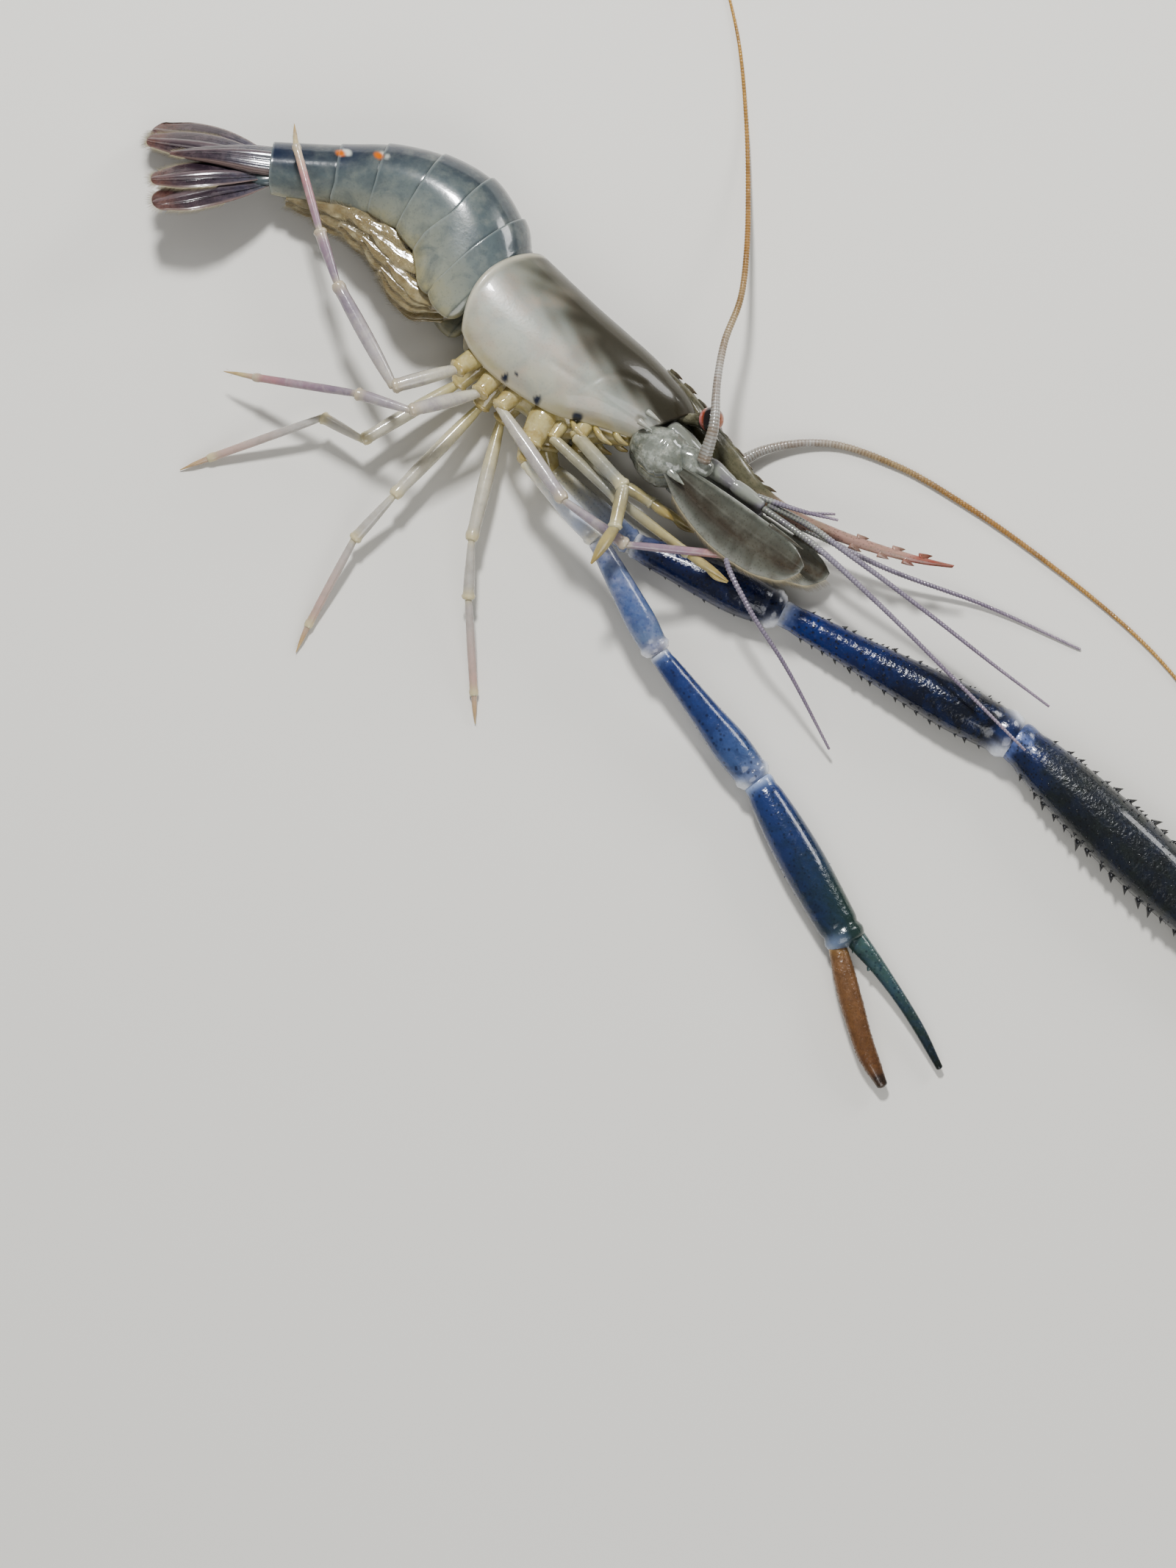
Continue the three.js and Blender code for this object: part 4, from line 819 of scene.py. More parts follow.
def fan_ripple(ridge):
    """A raised rib down the middle of a fan blade, with fine furrows beside it."""
    def ripple(place, angle):
        ribs = hump(angle, math.pi / 2, 0.13) + 0.6 * hump(angle, math.pi * 0.62, 0.1)
        return 1 + ridge * ribs * (1 - place * 0.5) + 0.015 * np.cos(angle * 26)
    return ripple


def make_tail_fan():
    middle, forward, up, side, _, _ = (row[0] for row in abdomen_place(6.0))
    turn = (TAIL_ROLL - ABDOMEN_JOINTS[6][5]) * DEGREE
    lifted = up * math.cos(turn) + np.cross(forward, up) * math.sin(turn)
    outward = side * math.cos(turn) + np.cross(forward, side) * math.sin(turn)
    fringe = []

    def fan_point(rear, out, lift):
        return middle - forward * rear + outward * out + lifted * lift

    def blade(name, path, widths, thickness, node, ridge):
        form = rod(path, widths, depth=thickness / max(widths), up=lifted, steps=70, sides=96,
                   ripple=fan_ripple(ridge), cap=0.8)
        across = form.fields["across"]
        form.fields["rib"] = 0.6 * hump(across, 0.5, 0.05)
        form.fields["rim"] = 0.7 * np.clip((np.abs(across - 0.5) - 0.42) / 0.06, 0, 1)
        add_piece(name, form, "fan_cuticle", "tail_fan", [node])

    trunk = [fan_point(TELSON_LENGTH * share, 0, lift)
             for share, lift in ((0.015, 1.2), (0.5, 1.6), (1, 0.6))]
    blade("telson_plate", trunk, TELSON_WIDTHS, TELSON_THICKNESS, "telson", 0.2)
    fringe += edge_fringe(trunk, TELSON_WIDTHS, lifted, 0.85, 160, 1.6)
    roots = []
    for flank in FLANKS.values():
        for out, lift in FAN_ROOTS:
            path = [fan_point(-2.5, flank * out * 0.7, lift),
                    fan_point(1.5, flank * out, lift - 0.4),
                    fan_point(6.5, flank * out * 1.35, lift - 0.6)]
            root = rod(path, [2.4, 3.0, 2.6, 0.9], depth=0.6, up=lifted, steps=30, sides=32)
            roots.append(root.fill("height", 0.7))
    add_piece("fan_roots", joined(roots), "abdomen_cuticle", "tail_fan")
    for flank_name, flank in FLANKS.items():
        for kind, shape in FAN_BLADES.items():
            spread = shape["spread"][flank_name] * DEGREE
            length = UROPOD_LENGTH * shape["share"][flank_name]
            path = [fan_point(1.6 + length * place * math.cos(spread),
                              flank * (shape["root"] + length * place * math.sin(spread)),
                              shape["lift"] + droop)
                    for place, droop in ((0, 0), (0.5, 0.4), (1, -0.8))]
            widths = shape["widths"]
            blade(f"fan_blade_{kind}_{flank_name}", path, widths, UROPOD_THICKNESS,
                  f"uropod_{kind}_{flank_name}", 1.1)
            fringe += edge_fringe(path, widths, lifted, 0.45, 260, 0.9)
            tip, way = path[2], unit(path[2] - path[1])
            across = np.cross(way, lifted)
            around = np.linspace(-1, 1, RIM_BRISTLES)[:, None]
            bow = way * 0.7 * widths[-1] * np.sqrt(1 - 0.8 * around**2)
            rim = tip + across * around * widths[-1] * 0.9 + bow
            fringe.append((rim, way + across * around * 1.2, np.ones(RIM_BRISTLES)))
    return fringe


# Head: eyes on stalks, feelers and scales.
# The stalk of an eye from its root, and the middle of the eyeball.
EYE_PLACES = [(55, 4.6, 2.6), (58.4, 6, 4.2), (61, 7.4, 5.8), (62, 8.2, 6.9)]
POLE = 0.02


def make_eyes(sizes):
    radius = sizes.eye_radius / MM
    for side, flank in FLANKS.items():
        *path, centre = flanked(EYE_PLACES, flank)
        stalk = rod(path, [1.8, 1.6, 1.9, 2.7], steps=24, sides=28)
        add_piece(f"eye_stalk_{side}", stalk, "eye_stalk_cuticle", "underside")
        way = unit(centre - path[0])
        tilt = np.linspace(POLE, math.pi - POLE, 32)[:, None, None]
        spin = round_angles(48)[None, :, None]
        across, over = sideways(way)
        around = across * np.cos(spin) + over * np.sin(spin)
        ball = centre + radius * (way * np.cos(tilt) + around * np.sin(tilt))
        add_piece(f"eye_ball_{side}", skin(ball, {"height": 0.5 + 0.5 * np.cos(tilt[:, :, 0])}),
                  "eye_cornea", "eye", [f"eye_{side}"])


# Corners along each ring of a feeler, and the most along a whole one.
RING_STEPS = 6
MOST_STEPS = 1400


def feeler(path, widths, spacing, sides=9):
    """A ringed thread, with a low ridge and a darker band at each ring."""
    length = path_length(path)
    turn = 2 * math.pi * length / spacing

    def ripple(place, _):
        return 1 + 0.12 * np.clip((place - 0.05) / 0.2, 0.2, 1) * np.cos(place * turn)
    form = rod(path, widths, steps=int(min(MOST_STEPS, length / spacing * RING_STEPS)), sides=sides,
               ripple=ripple)
    form.fields["ring"] = 0.5 * np.clip(-np.cos(form.fields["along"] * turn), 0, 1)
    return form


# Feelers: places along the body, heights above its axis and heights above the floor.
ANTENNAE = {
    "right": [[68, -2.2, 26], [65, 5, 28.6], [58, 15, 27.6], [51.8, 25.6, 23.4], [46.4, 39, 16.4],
              [38, 52, 9.6], [27.6, 65.3, 4.2], [14, 81, 1.1], [-2.3, 97.3, 0.6], [-16, 108, 0.5]],
    "left": [[71, 0.6, 5.6], [75, 14, 3.4], [86, 26.5, 1.4], [104, 34, 0.9], [124, 37.4, 0.8],
             [152, 39.4, 0.7], [188, 38.4, 0.6], [214, 33, 0.5]],
}
ANTENNA_NODES = {
    "right": ["antenna_near_right", "antenna_far_right"],
    "left": ["antenna_near_left", "antenna_middle_left", "antenna_far_left"],
}
# The joints of a feeler base: path with places outwards, widths and depth.
BASE_LOBES = [
    ([[51.5, -6.6, 3.4], [57.5, -6.2, 5], [63, -5.4, 6.2]], [4.8, 6.4, 6.6, 5], 0.86),
    ([[61, -4.4, 7], [65.5, -3.4, 8], [70, -3, 8.2]], [3, 3.5, 3.3, 2.2], 0.8),
    ([[63, -9.5, 8.4], [68, -10.2, 9.8]], [1.2, 0.8, 0.12], 1),
]
ANTENNA_WIDTHS = [1.9, 1.15, 0.95, 0.84, 0.78, 0.7, 0.6, 0.52, 0.44, 0.34]


def lobe_ripple(place, angle):
    """Low swellings round a feeler base, and one groove across it."""
    waves = 0.035 * np.cos(3 * angle + 4 * place) * np.sin(place * 8)
    return 1 + waves - 0.05 * hump(place, 0.62, 0.05)


def make_antennae(sizes):
    for side, flank in FLANKS.items():
        whip = feeler(ANTENNAE[side], ANTENNA_WIDTHS, sizes.ring_spacing / MM)
        add_piece(f"long_feeler_{side}", whip, "feeler_cuticle", "feeler", ANTENNA_NODES[side])
        lobes = [
            rod(flanked(rows, flank), widths, depth=depth, steps=44, sides=40, ripple=lobe_ripple)
            for rows, widths, depth in BASE_LOBES]
        add_piece(f"feeler_base_{side}", joined(lobes), "feeler_base_cuticle", "underside",
                  [f"antenna_base_{side}"])


ANTENNULE_THREADS = {
    "inner": {
        "right": [[87.6, 0.9, 19.2], [98, 3.4, 18], [112.8, 4.6, 17], [136, 6, 15],
                  [160, 6.8, 13.4], [176, 7.6, 12.6]],
        "left": [[87.6, 0.9, 10.2], [98, 4, 9], [120, 10, 6], [146, 20, 1.4], [172, 27, 0.5]],
    },
    "outer": {
        "right": [[87.4, -0.8, 19.4], [101.7, 0, 20], [126, -1, 18.6], [152, -3.4, 17.6],
                  [178.8, -6.2, 17.4]],
        "left": [[87, -2.6, 10.6], [86, -9.5, 13.8], [88, -17, 20.2], [100, -23, 18.8],
                 [117, -28, 13.6], [139, -36, 4]],
    },
}
SHORT_THREADS = {
    "right": [[84, 0.6, 19.6], [96, 5, 21], [104, 8.6, 22]],
    "left": [[84, 0.6, 10], [94, 6.4, 10], [101, 12, 9]],
}
THREAD_WIDTHS = [0.95, 0.78, 0.62, 0.5, 0.34]
STEM_PATH = [(56, -0.4, 4.6), (68, -1, 4.8), (76, -1, 4.6), (86, -0.4, 4.4)]
STEM_SHARE = 0.2


def stem_ripple(place, _):
    """The stem narrows at each of its two joints."""
    return 1 - 0.14 * hump(place, 0.42, 0.02) - 0.14 * hump(place, 0.7, 0.02)


def make_antennules(sizes):
    spacing = sizes.ring_spacing / MM
    for side, flank in FLANKS.items():
        stem = rod(flanked(STEM_PATH, flank), [3, 3.2, 2.4, 2.5, 1.9, 2, 1.5], steps=80,
                   ripple=stem_ripple)
        stem.fields["along"] = stem.fields["along"] * STEM_SHARE
        short = feeler(SHORT_THREADS[side], [0.85, 0.6, 0.34], spacing)
        add_piece(f"short_feelers_{side}", joined([stem, short]), "short_feeler_cuticle", "feeler",
                  [f"antennule_{side}"])
        for kind, threads in ANTENNULE_THREADS.items():
            add_piece(f"{kind}_feeler_{side}", feeler(threads[side], THREAD_WIDTHS, spacing),
                      "short_feeler_cuticle", "feeler", [f"antennule_{kind}_{side}"])


SCALE_LENGTH = 44
SCALE_WIDTH = 13.5
# Each row of a scale: place, outer and inner margin as shares of its length and width.
SCALE_ROWS = [
    [0, 0.2, 0.1], [0.12, 0.26, 0.34], [0.35, 0.3, 0.62], [0.62, 0.3, 0.72], [0.84, 0.26, 0.6],
    [0.96, 0.12, 0.36], [1, 0.02, 0.14],
]
# Where each scale is hinged, and the way it points.
SCALE_SEATS = {
    "right": ([61.5, -9.6, 22.6], [1, 0.06, 0.03]),
    "left": ([66, -5.4, 6.4], [1, 0.11, -0.02]),
}
SCALE_STEPS = 80
SCALE_BRISTLES = 420


def make_scales():
    fringe = []
    table = np.array(SCALE_ROWS)
    for side, flank in FLANKS.items():
        root, way = np.array(SCALE_SEATS[side][0]), unit(SCALE_SEATS[side][1])
        face = unit([-0.02, -0.26 * flank, 1])
        across = unit(np.cross(way, face)) * SCALE_WIDTH
        long = way * SCALE_LENGTH
        place, outer, inner = smooth_values(table[:, 0], table, np.linspace(0, 1, SCALE_STEPS)).T
        share = np.linspace(0, 1, 49)
        ribs = (0.9 * hump(share, 0.06, 0.05) + 0.3 * hump(share, 0.36, 0.03)
                + 0.15 * hump(share, 0.6, 0.02))
        thin = np.sqrt(np.clip(1 - (2 * share - 1) ** 8, 0, 1))
        puff = thin * (0.75 - 0.4 * place)[:, None] * (0.4 + ribs)
        margin = -outer[:, None] * (1 - share) + inner[:, None] * share
        sheet = root + (long * place[:, None])[:, None] + across * margin[..., None]
        upper = sheet + face * puff[..., None]
        under = sheet - face * puff[..., None] * 0.7
        rings = np.concatenate([upper, under[:, ::-1][:, 1:-1]], 1)
        field = np.concatenate([share, share[::-1][1:-1]])[None, :]
        tip = np.clip((place - 0.9) / 0.1, 0, 1)[:, None] * 0.95
        edge = across * 0.27
        spike = rod([root + long * 0.7 - edge, root + long * 0.8 + way * 6 - edge], [0.8, 0.6, 0.1],
                    steps=10, sides=10)
        blade = skin(rings, {"across": np.maximum(field * np.ones((SCALE_STEPS, 1)), tip)})
        add_piece(f"feeler_scale_{side}", joined([blade, spike]), "scale_cuticle", "scale",
                  [f"antenna_scale_{side}"])
        rows = smooth_values(table[:, 0], table, np.linspace(0.12, 1, SCALE_BRISTLES))
        at, _, reach = (row[:, None] for row in rows.T)
        rim = root + long * at + across * reach * 0.99
        lean = unit(across) * (1 - 0.7 * at) + way * (0.35 + at)
        fringe.append((rim, lean, np.ones(SCALE_BRISTLES)))
    return fringe


# Arms: the joints of ischium, merus, carpus and palm, and the widths along each.
ARM_JOINTS = {
    "right": [[32, -30.5, 20.4], [59.3, -34.6, 17.8], [89.7, -46.3, 11.6], [130.3, -54.8, 6.4],
              [174.4, -71.9, 5]],
    "left": [[36, -26.5, 7.4], [65.5, -27.4, 5.6], [106.6, -16.4, 5.6], [174.4, -3.4, 6.4],
             [250, -9, 7.4]],
}
ARM_WIDTHS = {
    "right": [[2.3, 2.6, 2.9, 2.5], [2.5, 3.1, 3.6, 4, 3.4], [2.7, 3.3, 4.0, 4.9, 4.3],
              [4, 5.3, 5.9, 5.7, 5.2]],
    "left": [[2.8, 3.3, 3.7, 3.2], [3.4, 4.4, 5.4, 5.9, 4.6], [3.5, 4.3, 5.5, 6.6, 5.6],
             [5.6, 7.6, 8.6, 8.4, 7]],
}
ARM_PARTS = ["ischium", "merus", "carpus", "palm"]
CLAWS = {
    "right": {
        "fixed": [[168, -68.4, 4.9], [188, -72.7, 4.2], [203, -77.3, 3.2], [213.5, -81.6, 2.2]],
        "fixed_widths": [3.4, 2.7, 2.0, 1.6, 1.4, 0.9],
        "moving": [[173.2, -74.4, 5.2], [187, -84.5, 5], [197, -91, 4.2], [205, -94.6, 3.2]],
        "moving_widths": [2.3, 2.9, 3.0, 2.8, 2.5, 1.5],
        "closing": [0.25, -0.97, 0], "finger": ("velvet_skin", "velvet_finger"), "finger_start": 0,
    },
    "left": {
        "fixed": [[240, -12.6, 6.8], [266, -18.5, 5.6], [288, -20, 4], [307, -17.4, 2.4]],
        "fixed_widths": [4.4, 4.2, 3.7, 3.0, 2.0, 0.7],
        "moving": [[249, -5, 7.4], [268, 0.5, 6.6], [287, -1.6, 5], [304, -8.8, 3]],
        "moving_widths": [3.4, 4.2, 3.7, 3.0, 2.0, 0.7],
        "closing": [0.1, 0.99, 0], "finger": ("left_palm_cuticle", "left_arm_shell"),
        "finger_start": 0.2,
    },
}
# Blunt teeth of a claw: place along its finger and size.
CLAW_TEETH = [(0.2, 0.9), (0.32, 1.2)] + [(0.42 + 0.05 * k, 0.32) for k in range(9)]
# Rows of spines on each length of an arm: degrees round it, spacing and relative size.
SPINE_ROWS = {
    ("left", 1): [(0, 4.4, 0.42), (180, 4.4, 0.42), (60, 3.4, 0.2), (120, 3.4, 0.2), (30, 3, 0.16),
                  (90, 3, 0.18), (150, 3, 0.16)],
    ("left", 2): [(0, 3.6, 0.62), (180, 3.8, 0.62), (25, 3, 0.34), (155, 3, 0.34), (60, 2.6, 0.26),
                  (92, 2.4, 0.24), (124, 2.6, 0.26), (210, 4, 0.4), (330, 4, 0.4)],
    ("left", 3): [(0, 4.2, 1.0), (180, 4.0, 0.9), (14, 3.4, 0.5), (166, 3.4, 0.5), (35, 2.6, 0.36),
                  (58, 2.4, 0.3), (82, 2.4, 0.28), (104, 2.4, 0.28), (126, 2.4, 0.3),
                  (146, 2.6, 0.36), (205, 3.6, 0.5), (335, 3.6, 0.5)],
    ("right", 1): [(0, 3, 0.12), (180, 3, 0.12), (60, 4, 0.1), (120, 4, 0.1)],
    ("right", 2): [(0, 2.6, 0.16), (180, 2.6, 0.16), (45, 3.6, 0.12), (90, 3.6, 0.12),
                   (135, 3.6, 0.12)],
    ("right", 3): [(0, 2.4, 0.18), (180, 2.4, 0.18), (40, 3.2, 0.12), (80, 3.2, 0.12),
                   (120, 3.2, 0.12)],
}
FINGER_SPINES = [(330, 0.5), (20, 0.7), (270, 0.3)]
# Depths as shares of the width, and the share of the hand's colours that lies on the palm.
PALM_DEPTH = 0.86
ARM_DEPTH = 0.95
FINGER_DEPTH = 0.85
PALM_SHARE = 0.62
FINGER_STEPS = 70
VELVET_HAIRS = 3200


def limb_length(start, end, widths, depth=ARM_DEPTH, sides=40, steps=72, knob=0.12):
    """One straight length of a limb, with a lipped rim and two knobs at its far end."""
    def ripple(place, angle):
        lip = 0.06 * hump(place, 0.975, 0.018) - 0.07 * hump(place, 0.93, 0.016)
        knobs = knob * hump(place, 0.955, 0.04) * np.abs(np.cos(angle)) ** 4
        return 1 + lip + knobs - 0.06 * hump(place, 0.05, 0.02)
    form = rod([start, end], widths, depth=depth, sides=sides, steps=steps, ripple=ripple, cap=0.35)
    place, across = form.fields["along"], form.fields["across"]
    corner = np.abs(across - 0.5) * 2
    form.fields["joint"] = np.maximum(
        0.7 * hump(place, 0, 0.02), np.clip(2.6 * hump(place, 1, 0.045) * corner**4, 0, 1))
    return form


def spine_row(start, end, widths, depth, row, rng):
    """Spine roots in one row along a limb, leaning towards its far end."""
    degrees, spacing, size = row
    count = int(path_length([start, end]) * 0.86 / spacing)
    place = 0.08 + 0.84 * (np.arange(count) + rng.uniform(0.3, 0.7, count)) / count
    angle = degrees * DEGREE + rng.normal(0, 0.05, count)
    axis = unit(np.subtract(end, start))
    across, lift = sideways(axis)
    width = even_values(widths, place)
    reach = (across * (np.cos(angle) * width)[:, None]
             + lift * (np.sin(angle) * width * depth)[:, None])
    foot = start + np.subtract(end, start) * place[:, None] + reach * 0.97
    swell = 0.6 + 0.4 * np.sin(place * math.pi)
    return foot, unit(reach) + axis * 0.75, size * swell * rng.uniform(0.75, 1.1, count)


def claw_finger(path, widths, closing, tooth_scale):
    """A curved finger with blunt teeth along its closing edge."""
    forms = [rod(path, widths, depth=FINGER_DEPTH, steps=FINGER_STEPS, sides=36)]
    line = smooth_path(path, FINGER_STEPS)
    wide = even_values(widths, np.linspace(0, 1, FINGER_STEPS))
    for place, size in CLAW_TEETH:
        k = int(place * (FINGER_STEPS - 1))
        size = size * tooth_scale
        root = line[k] + closing * wide[k] * 0.6
        tooth = rod([root, root + closing * (wide[k] * 0.35 + size)],
                    [size * 1.1, size * 0.8, size * 0.3], steps=8, sides=14)
        forms.append(tooth.fill("along", place))
    return joined(forms)


def velvet_roots(path, widths, rng):
    """Hair roots scattered over a finger, all but its bare tip."""
    place = rng.uniform(0.06, 0.9, VELVET_HAIRS)
    angle = rng.uniform(0, 2 * math.pi, VELVET_HAIRS)[:, None]
    keys = np.linspace(0, 1, 200)
    line = smooth_path(path, 200)
    spot = smooth_values(keys, line, place)
    along = unit(smooth_values(keys, np.gradient(line, axis=0), place))
    side, lift = sideways(along)
    out = side * np.cos(angle) + lift * np.sin(angle) * FINGER_DEPTH
    out = out * even_values(widths, place)[:, None]
    return spot + out * 0.98, unit(out) + along * 1.5, np.ones(VELVET_HAIRS)


def make_claw(side, palm):
    """Adds the fixed finger to a palm, and the moving finger as a piece of its own."""
    claw = CLAWS[side]
    closing = np.array(claw["closing"])
    scale = ARM_WIDTHS[side][3][0] / ARM_WIDTHS["left"][3][0]
    place, across = palm.fields["along"], palm.fields["across"]
    palm.fields["teal"] = 1.2 * np.clip((place - 0.35) / 0.4, 0, 1) * np.clip(0.8 - across, 0, 1)
    palm.fields["joint"] = np.maximum(
        0.7 * hump(place, 0, 0.03), 0.9 * hump(place, 1, 0.05) * np.clip(across - 0.4, 0, 1))
    palm.fields["along"] = place * PALM_SHARE
    fixed = claw_finger(claw["fixed"], claw["fixed_widths"], closing, scale)
    fixed.fields["along"] = PALM_SHARE + fixed.fields["along"] * (1 - PALM_SHARE)
    moving = claw_finger(claw["moving"], claw["moving_widths"], -closing, scale)
    start = claw["finger_start"]
    moving.fields["along"] = start + (1 - start) * moving.fields["along"]
    add_piece(f"{side}_arm_moving_finger", moving, *claw["finger"], [f"{side}_arm_finger"])
    return joined([palm, fixed.fill("teal", 0.2)])


def make_arms():
    """Both arms. Gives the roots of their spines, by side, and of the velvet."""
    rows = {"left": [], "right": []}
    rng = np.random.default_rng(11)
    for side in FLANKS:
        membranes = []
        for part, kind in enumerate(ARM_PARTS):
            widths = ARM_WIDTHS[side][part]
            start, end = np.array(ARM_JOINTS[side][part]), np.array(ARM_JOINTS[side][part + 1])
            axis = unit(end - start)
            palm = kind == "palm"
            flat = PALM_DEPTH if palm else ARM_DEPTH
            first, last = start + axis * 0.5, end - axis * (0 if palm else 0.7)
            limb = limb_length(first, last, widths, depth=flat, knob=0 if palm else 0.12)
            nodes = [f"{side}_arm_{kind}"]
            if palm:
                limb = make_claw(side, limb)
                nodes.append(f"{side}_arm_fixed_finger")
            if part:
                thick = widths[0] * 0.82
                sleeve = [start - axis * 2.4, start + axis * 2.4]
                membranes.append(rod(sleeve, [thick, thick], steps=14, sides=28))
            add_piece(f"{side}_arm_{kind}_shell", limb, f"{side}_{kind}_cuticle",
                      f"{side}_arm_shell", nodes)
            for row in SPINE_ROWS.get((side, part), []):
                rows[side].append(spine_row(first, last, widths, flat, row, rng))
        add_piece(f"{side}_arm_joint_skin", joined(membranes), "joint_membrane",
                  f"{side}_arm_shell")
    finger = CLAWS["left"]["fixed"]
    for degrees, size in FINGER_SPINES:
        rows["left"].append(
            spine_row(finger[0], finger[2], [4.4, 3.0], FINGER_DEPTH, (degrees, 4, size), rng))
    return rows, [velvet_roots(CLAWS["right"]["moving"], CLAWS["right"]["moving_widths"], rng)]


# Walking legs: their joints from the body to the tip.
LEGS = {
    "right_leg_3": [[18, -24.5, 21.6], [47, -33.5, 26], [66.6, -31.8, 24], [91.6, -12.8, 16],
                    [97.5, -8.2, 14.6]],
    "right_leg_4": [[11.5, -25, 22], [2, -41, 28], [-12, -46, 25], [-38.2, -57.6, 11],
                    [-46, -61, 7.6]],
    "right_leg_5": [[3, -24, 22.6], [-6.2, -38.4, 24.4], [-35, -27, 24.8], [-47.8, -19, 24.8],
                    [-67.6, -5.4, 24], [-72, -1, 22.4]],
    "left_leg_3": [[18, -24.5, 8], [33, -54, 9.4], [42, -66, 6.4], [59, -84, 1.5],
                   [64, -89.5, 0.6]],
    "left_leg_4": [[11.5, -25, 7.6], [10, -58, 9.6], [9, -73, 6], [14, -98, 1.4], [16, -105, 0.6]],
    "left_leg_5": [[3, -24, 7.2], [-5.7, -52, 10], [-17.9, -54, 9], [-35.1, -80.5, 1.6],
                   [-39, -87.5, 0.6]],
}
# Widths along each length of a walking leg: root, merus, carpus, propodus and dactyl.
LEG_WIDTHS = [
    [1.3, 1.8, 1.9, 1.7], [1.2, 1.7, 1.9, 1.8, 1.5], [0.9, 1.2, 1.45, 1.5], [0.95, 1.1, 1.1, 1.0],
    [0.8, 0.55, 0.1],
]
# Mouth legs and feeding legs: joints and width.
FEEDERS = {
    "right_maxilliped": ([[38.5, -17.6, 21.4], [56.8, -21, 27], [62.2, -31, 28.6],
                          [63.2, -41.5, 25.6]], 1.8),
    "left_maxilliped": ([[39, -18.6, 8.6], [54, -17.6, 10], [63, -16.6, 10.6], [70, -16.4, 10.4]],
                        1.6),
    "right_leg_1": ([[33.5, -21.6, 20.2], [57.5, -23.6, 21.6], [79.8, -22.4, 18.6],
                     [92, -21, 16.6]], 1.4),
    "left_leg_1": ([[34, -18.8, 4.8], [52, -16, 3.4], [63, -14.8, 2.4], [75, -13.6, 1.8]], 1.4),
}


def limb_chain(joints, widths):
    """A jointed leg: each length swells at its far end, and its colour runs from root to tip."""
    forms = []
    total = path_length(joints)
    done = 0.0
    for start, end, wide in zip(joints, joints[1:], widths):
        part = path_length([start, end])
        if end is joints[-1]:
            bend = np.add(start, end) / 2 + UP * 0.25
            limb = rod([start, bend, end], wide, steps=24, sides=16).fill("joint", 0)
        else:
            limb = limb_length(start, end, wide, depth=1.0, sides=22, steps=44, knob=0.2)
            place = limb.fields["along"]
            limb.fields["joint"] = np.maximum(
                hump(place, 1, 2.2 / part), 0.8 * hump(place, 0, 1.2 / part))
        limb.fields["along"] = (done + limb.fields["along"] * part) / total
        forms.append(limb)
        done += part
    return joined(forms)


def leg_tufts(joints, width, rng):
    """Short bristles along the last lengths of a leg."""
    rows = []
    for start, end in zip(joints[-3:-1], joints[-2:]):
        axis = unit(np.subtract(end, start))
        across, lift = sideways(axis)
        count = int(path_length([start, end]) * 3)
        place = ((np.arange(count) + rng.uniform(0, 1, count)) / count)[:, None]
        angle = rng.uniform(0, 2 * math.pi, count)[:, None]
        out = across * np.cos(angle) + lift * np.sin(angle)
        foot = start + np.subtract(end, start) * place + out * width * (1 - 0.4 * place) * 0.7
        rows.append((foot, out + axis * 1.6, rng.uniform(0.25, 0.5, count)))
    return rows


def small_claw(joints, width):
    """The second finger of the small claw at the end of a feeding leg."""
    start, end = np.array(joints[-2]), np.array(joints[-1])
    side = unit(np.cross(end - start, UP))
    root = start + (end - start) * 0.5
    path = [root + side * width * 0.2, root + (end - start) * 0.25 + side * width * 0.75,
            end + side * width * 0.3]
    return rod(path, [width * 0.6, width * 0.45, 0.2], steps=20, sides=14).fill("along", 0.95)


def make_legs():
    rng = np.random.default_rng(23)
    tufts = []
    for name, joints in LEGS.items():
        rooted = len(joints) == len(LEG_WIDTHS) + 1
        widths = LEG_WIDTHS if rooted else LEG_WIDTHS[1:]
        nodes = [f"{name}_root"] * rooted + [f"{name}_upper", f"{name}_lower"]
        material = "far_leg_cuticle" if name.startswith("right") else "near_leg_cuticle"
        add_piece(f"{name}_shell", limb_chain(joints, widths), material, "leg_shell", nodes)
        tufts += leg_tufts(joints, 1.2, rng)
    for name, (joints, width) in FEEDERS.items():
        widths = np.array([[1, 1.05, 1, 1], [0.85, 1, 0.95, 0.9], [0.75, 0.9, 0.7, 0.18]]) * width
        form = limb_chain(joints, widths)
        if "leg" in name:
            form = joined([form, small_claw(joints, width)])
        add_piece(f"{name}_shell", form, "feeding_leg_cuticle", "leg_shell", [name])
        tufts += leg_tufts(joints, width, rng)
    return tufts


# Hips: places along the body, and the hip that each walking leg starts from.
HIPS = {"maxilliped": 37, "first": 32.5, "second": 27, "third": 18.5, "fourth": 11.5, "fifth": 5}
LEG_HIPS = {"3": "third", "4": "fourth", "5": "fifth"}
ARM_ROOTS = [([30, -27, 20.2], [32, -30.5, 20.4], 2.7), ([32, -23.5, 9.4], [36, -26.5, 7.4], 3.2)]
THORAX_PATH = [(-1, -10.5, 0), (14, -15.4, 0), (32, -14.5, 0), (47, -8, 0)]
# Soft lobes of the mouth field: place, height, place outwards and length.
MOUTH_LOBES = [(44, -9.5, 3.6, 5), (40, -12.5, 5.4, 6), (35, -15.5, 6.6, 6)]


def thorax_ripple(place, angle):
    """Low folds across the skin under the thorax."""
    return 1 + 0.05 * np.cos(place * 46) * np.abs(np.sin(angle))


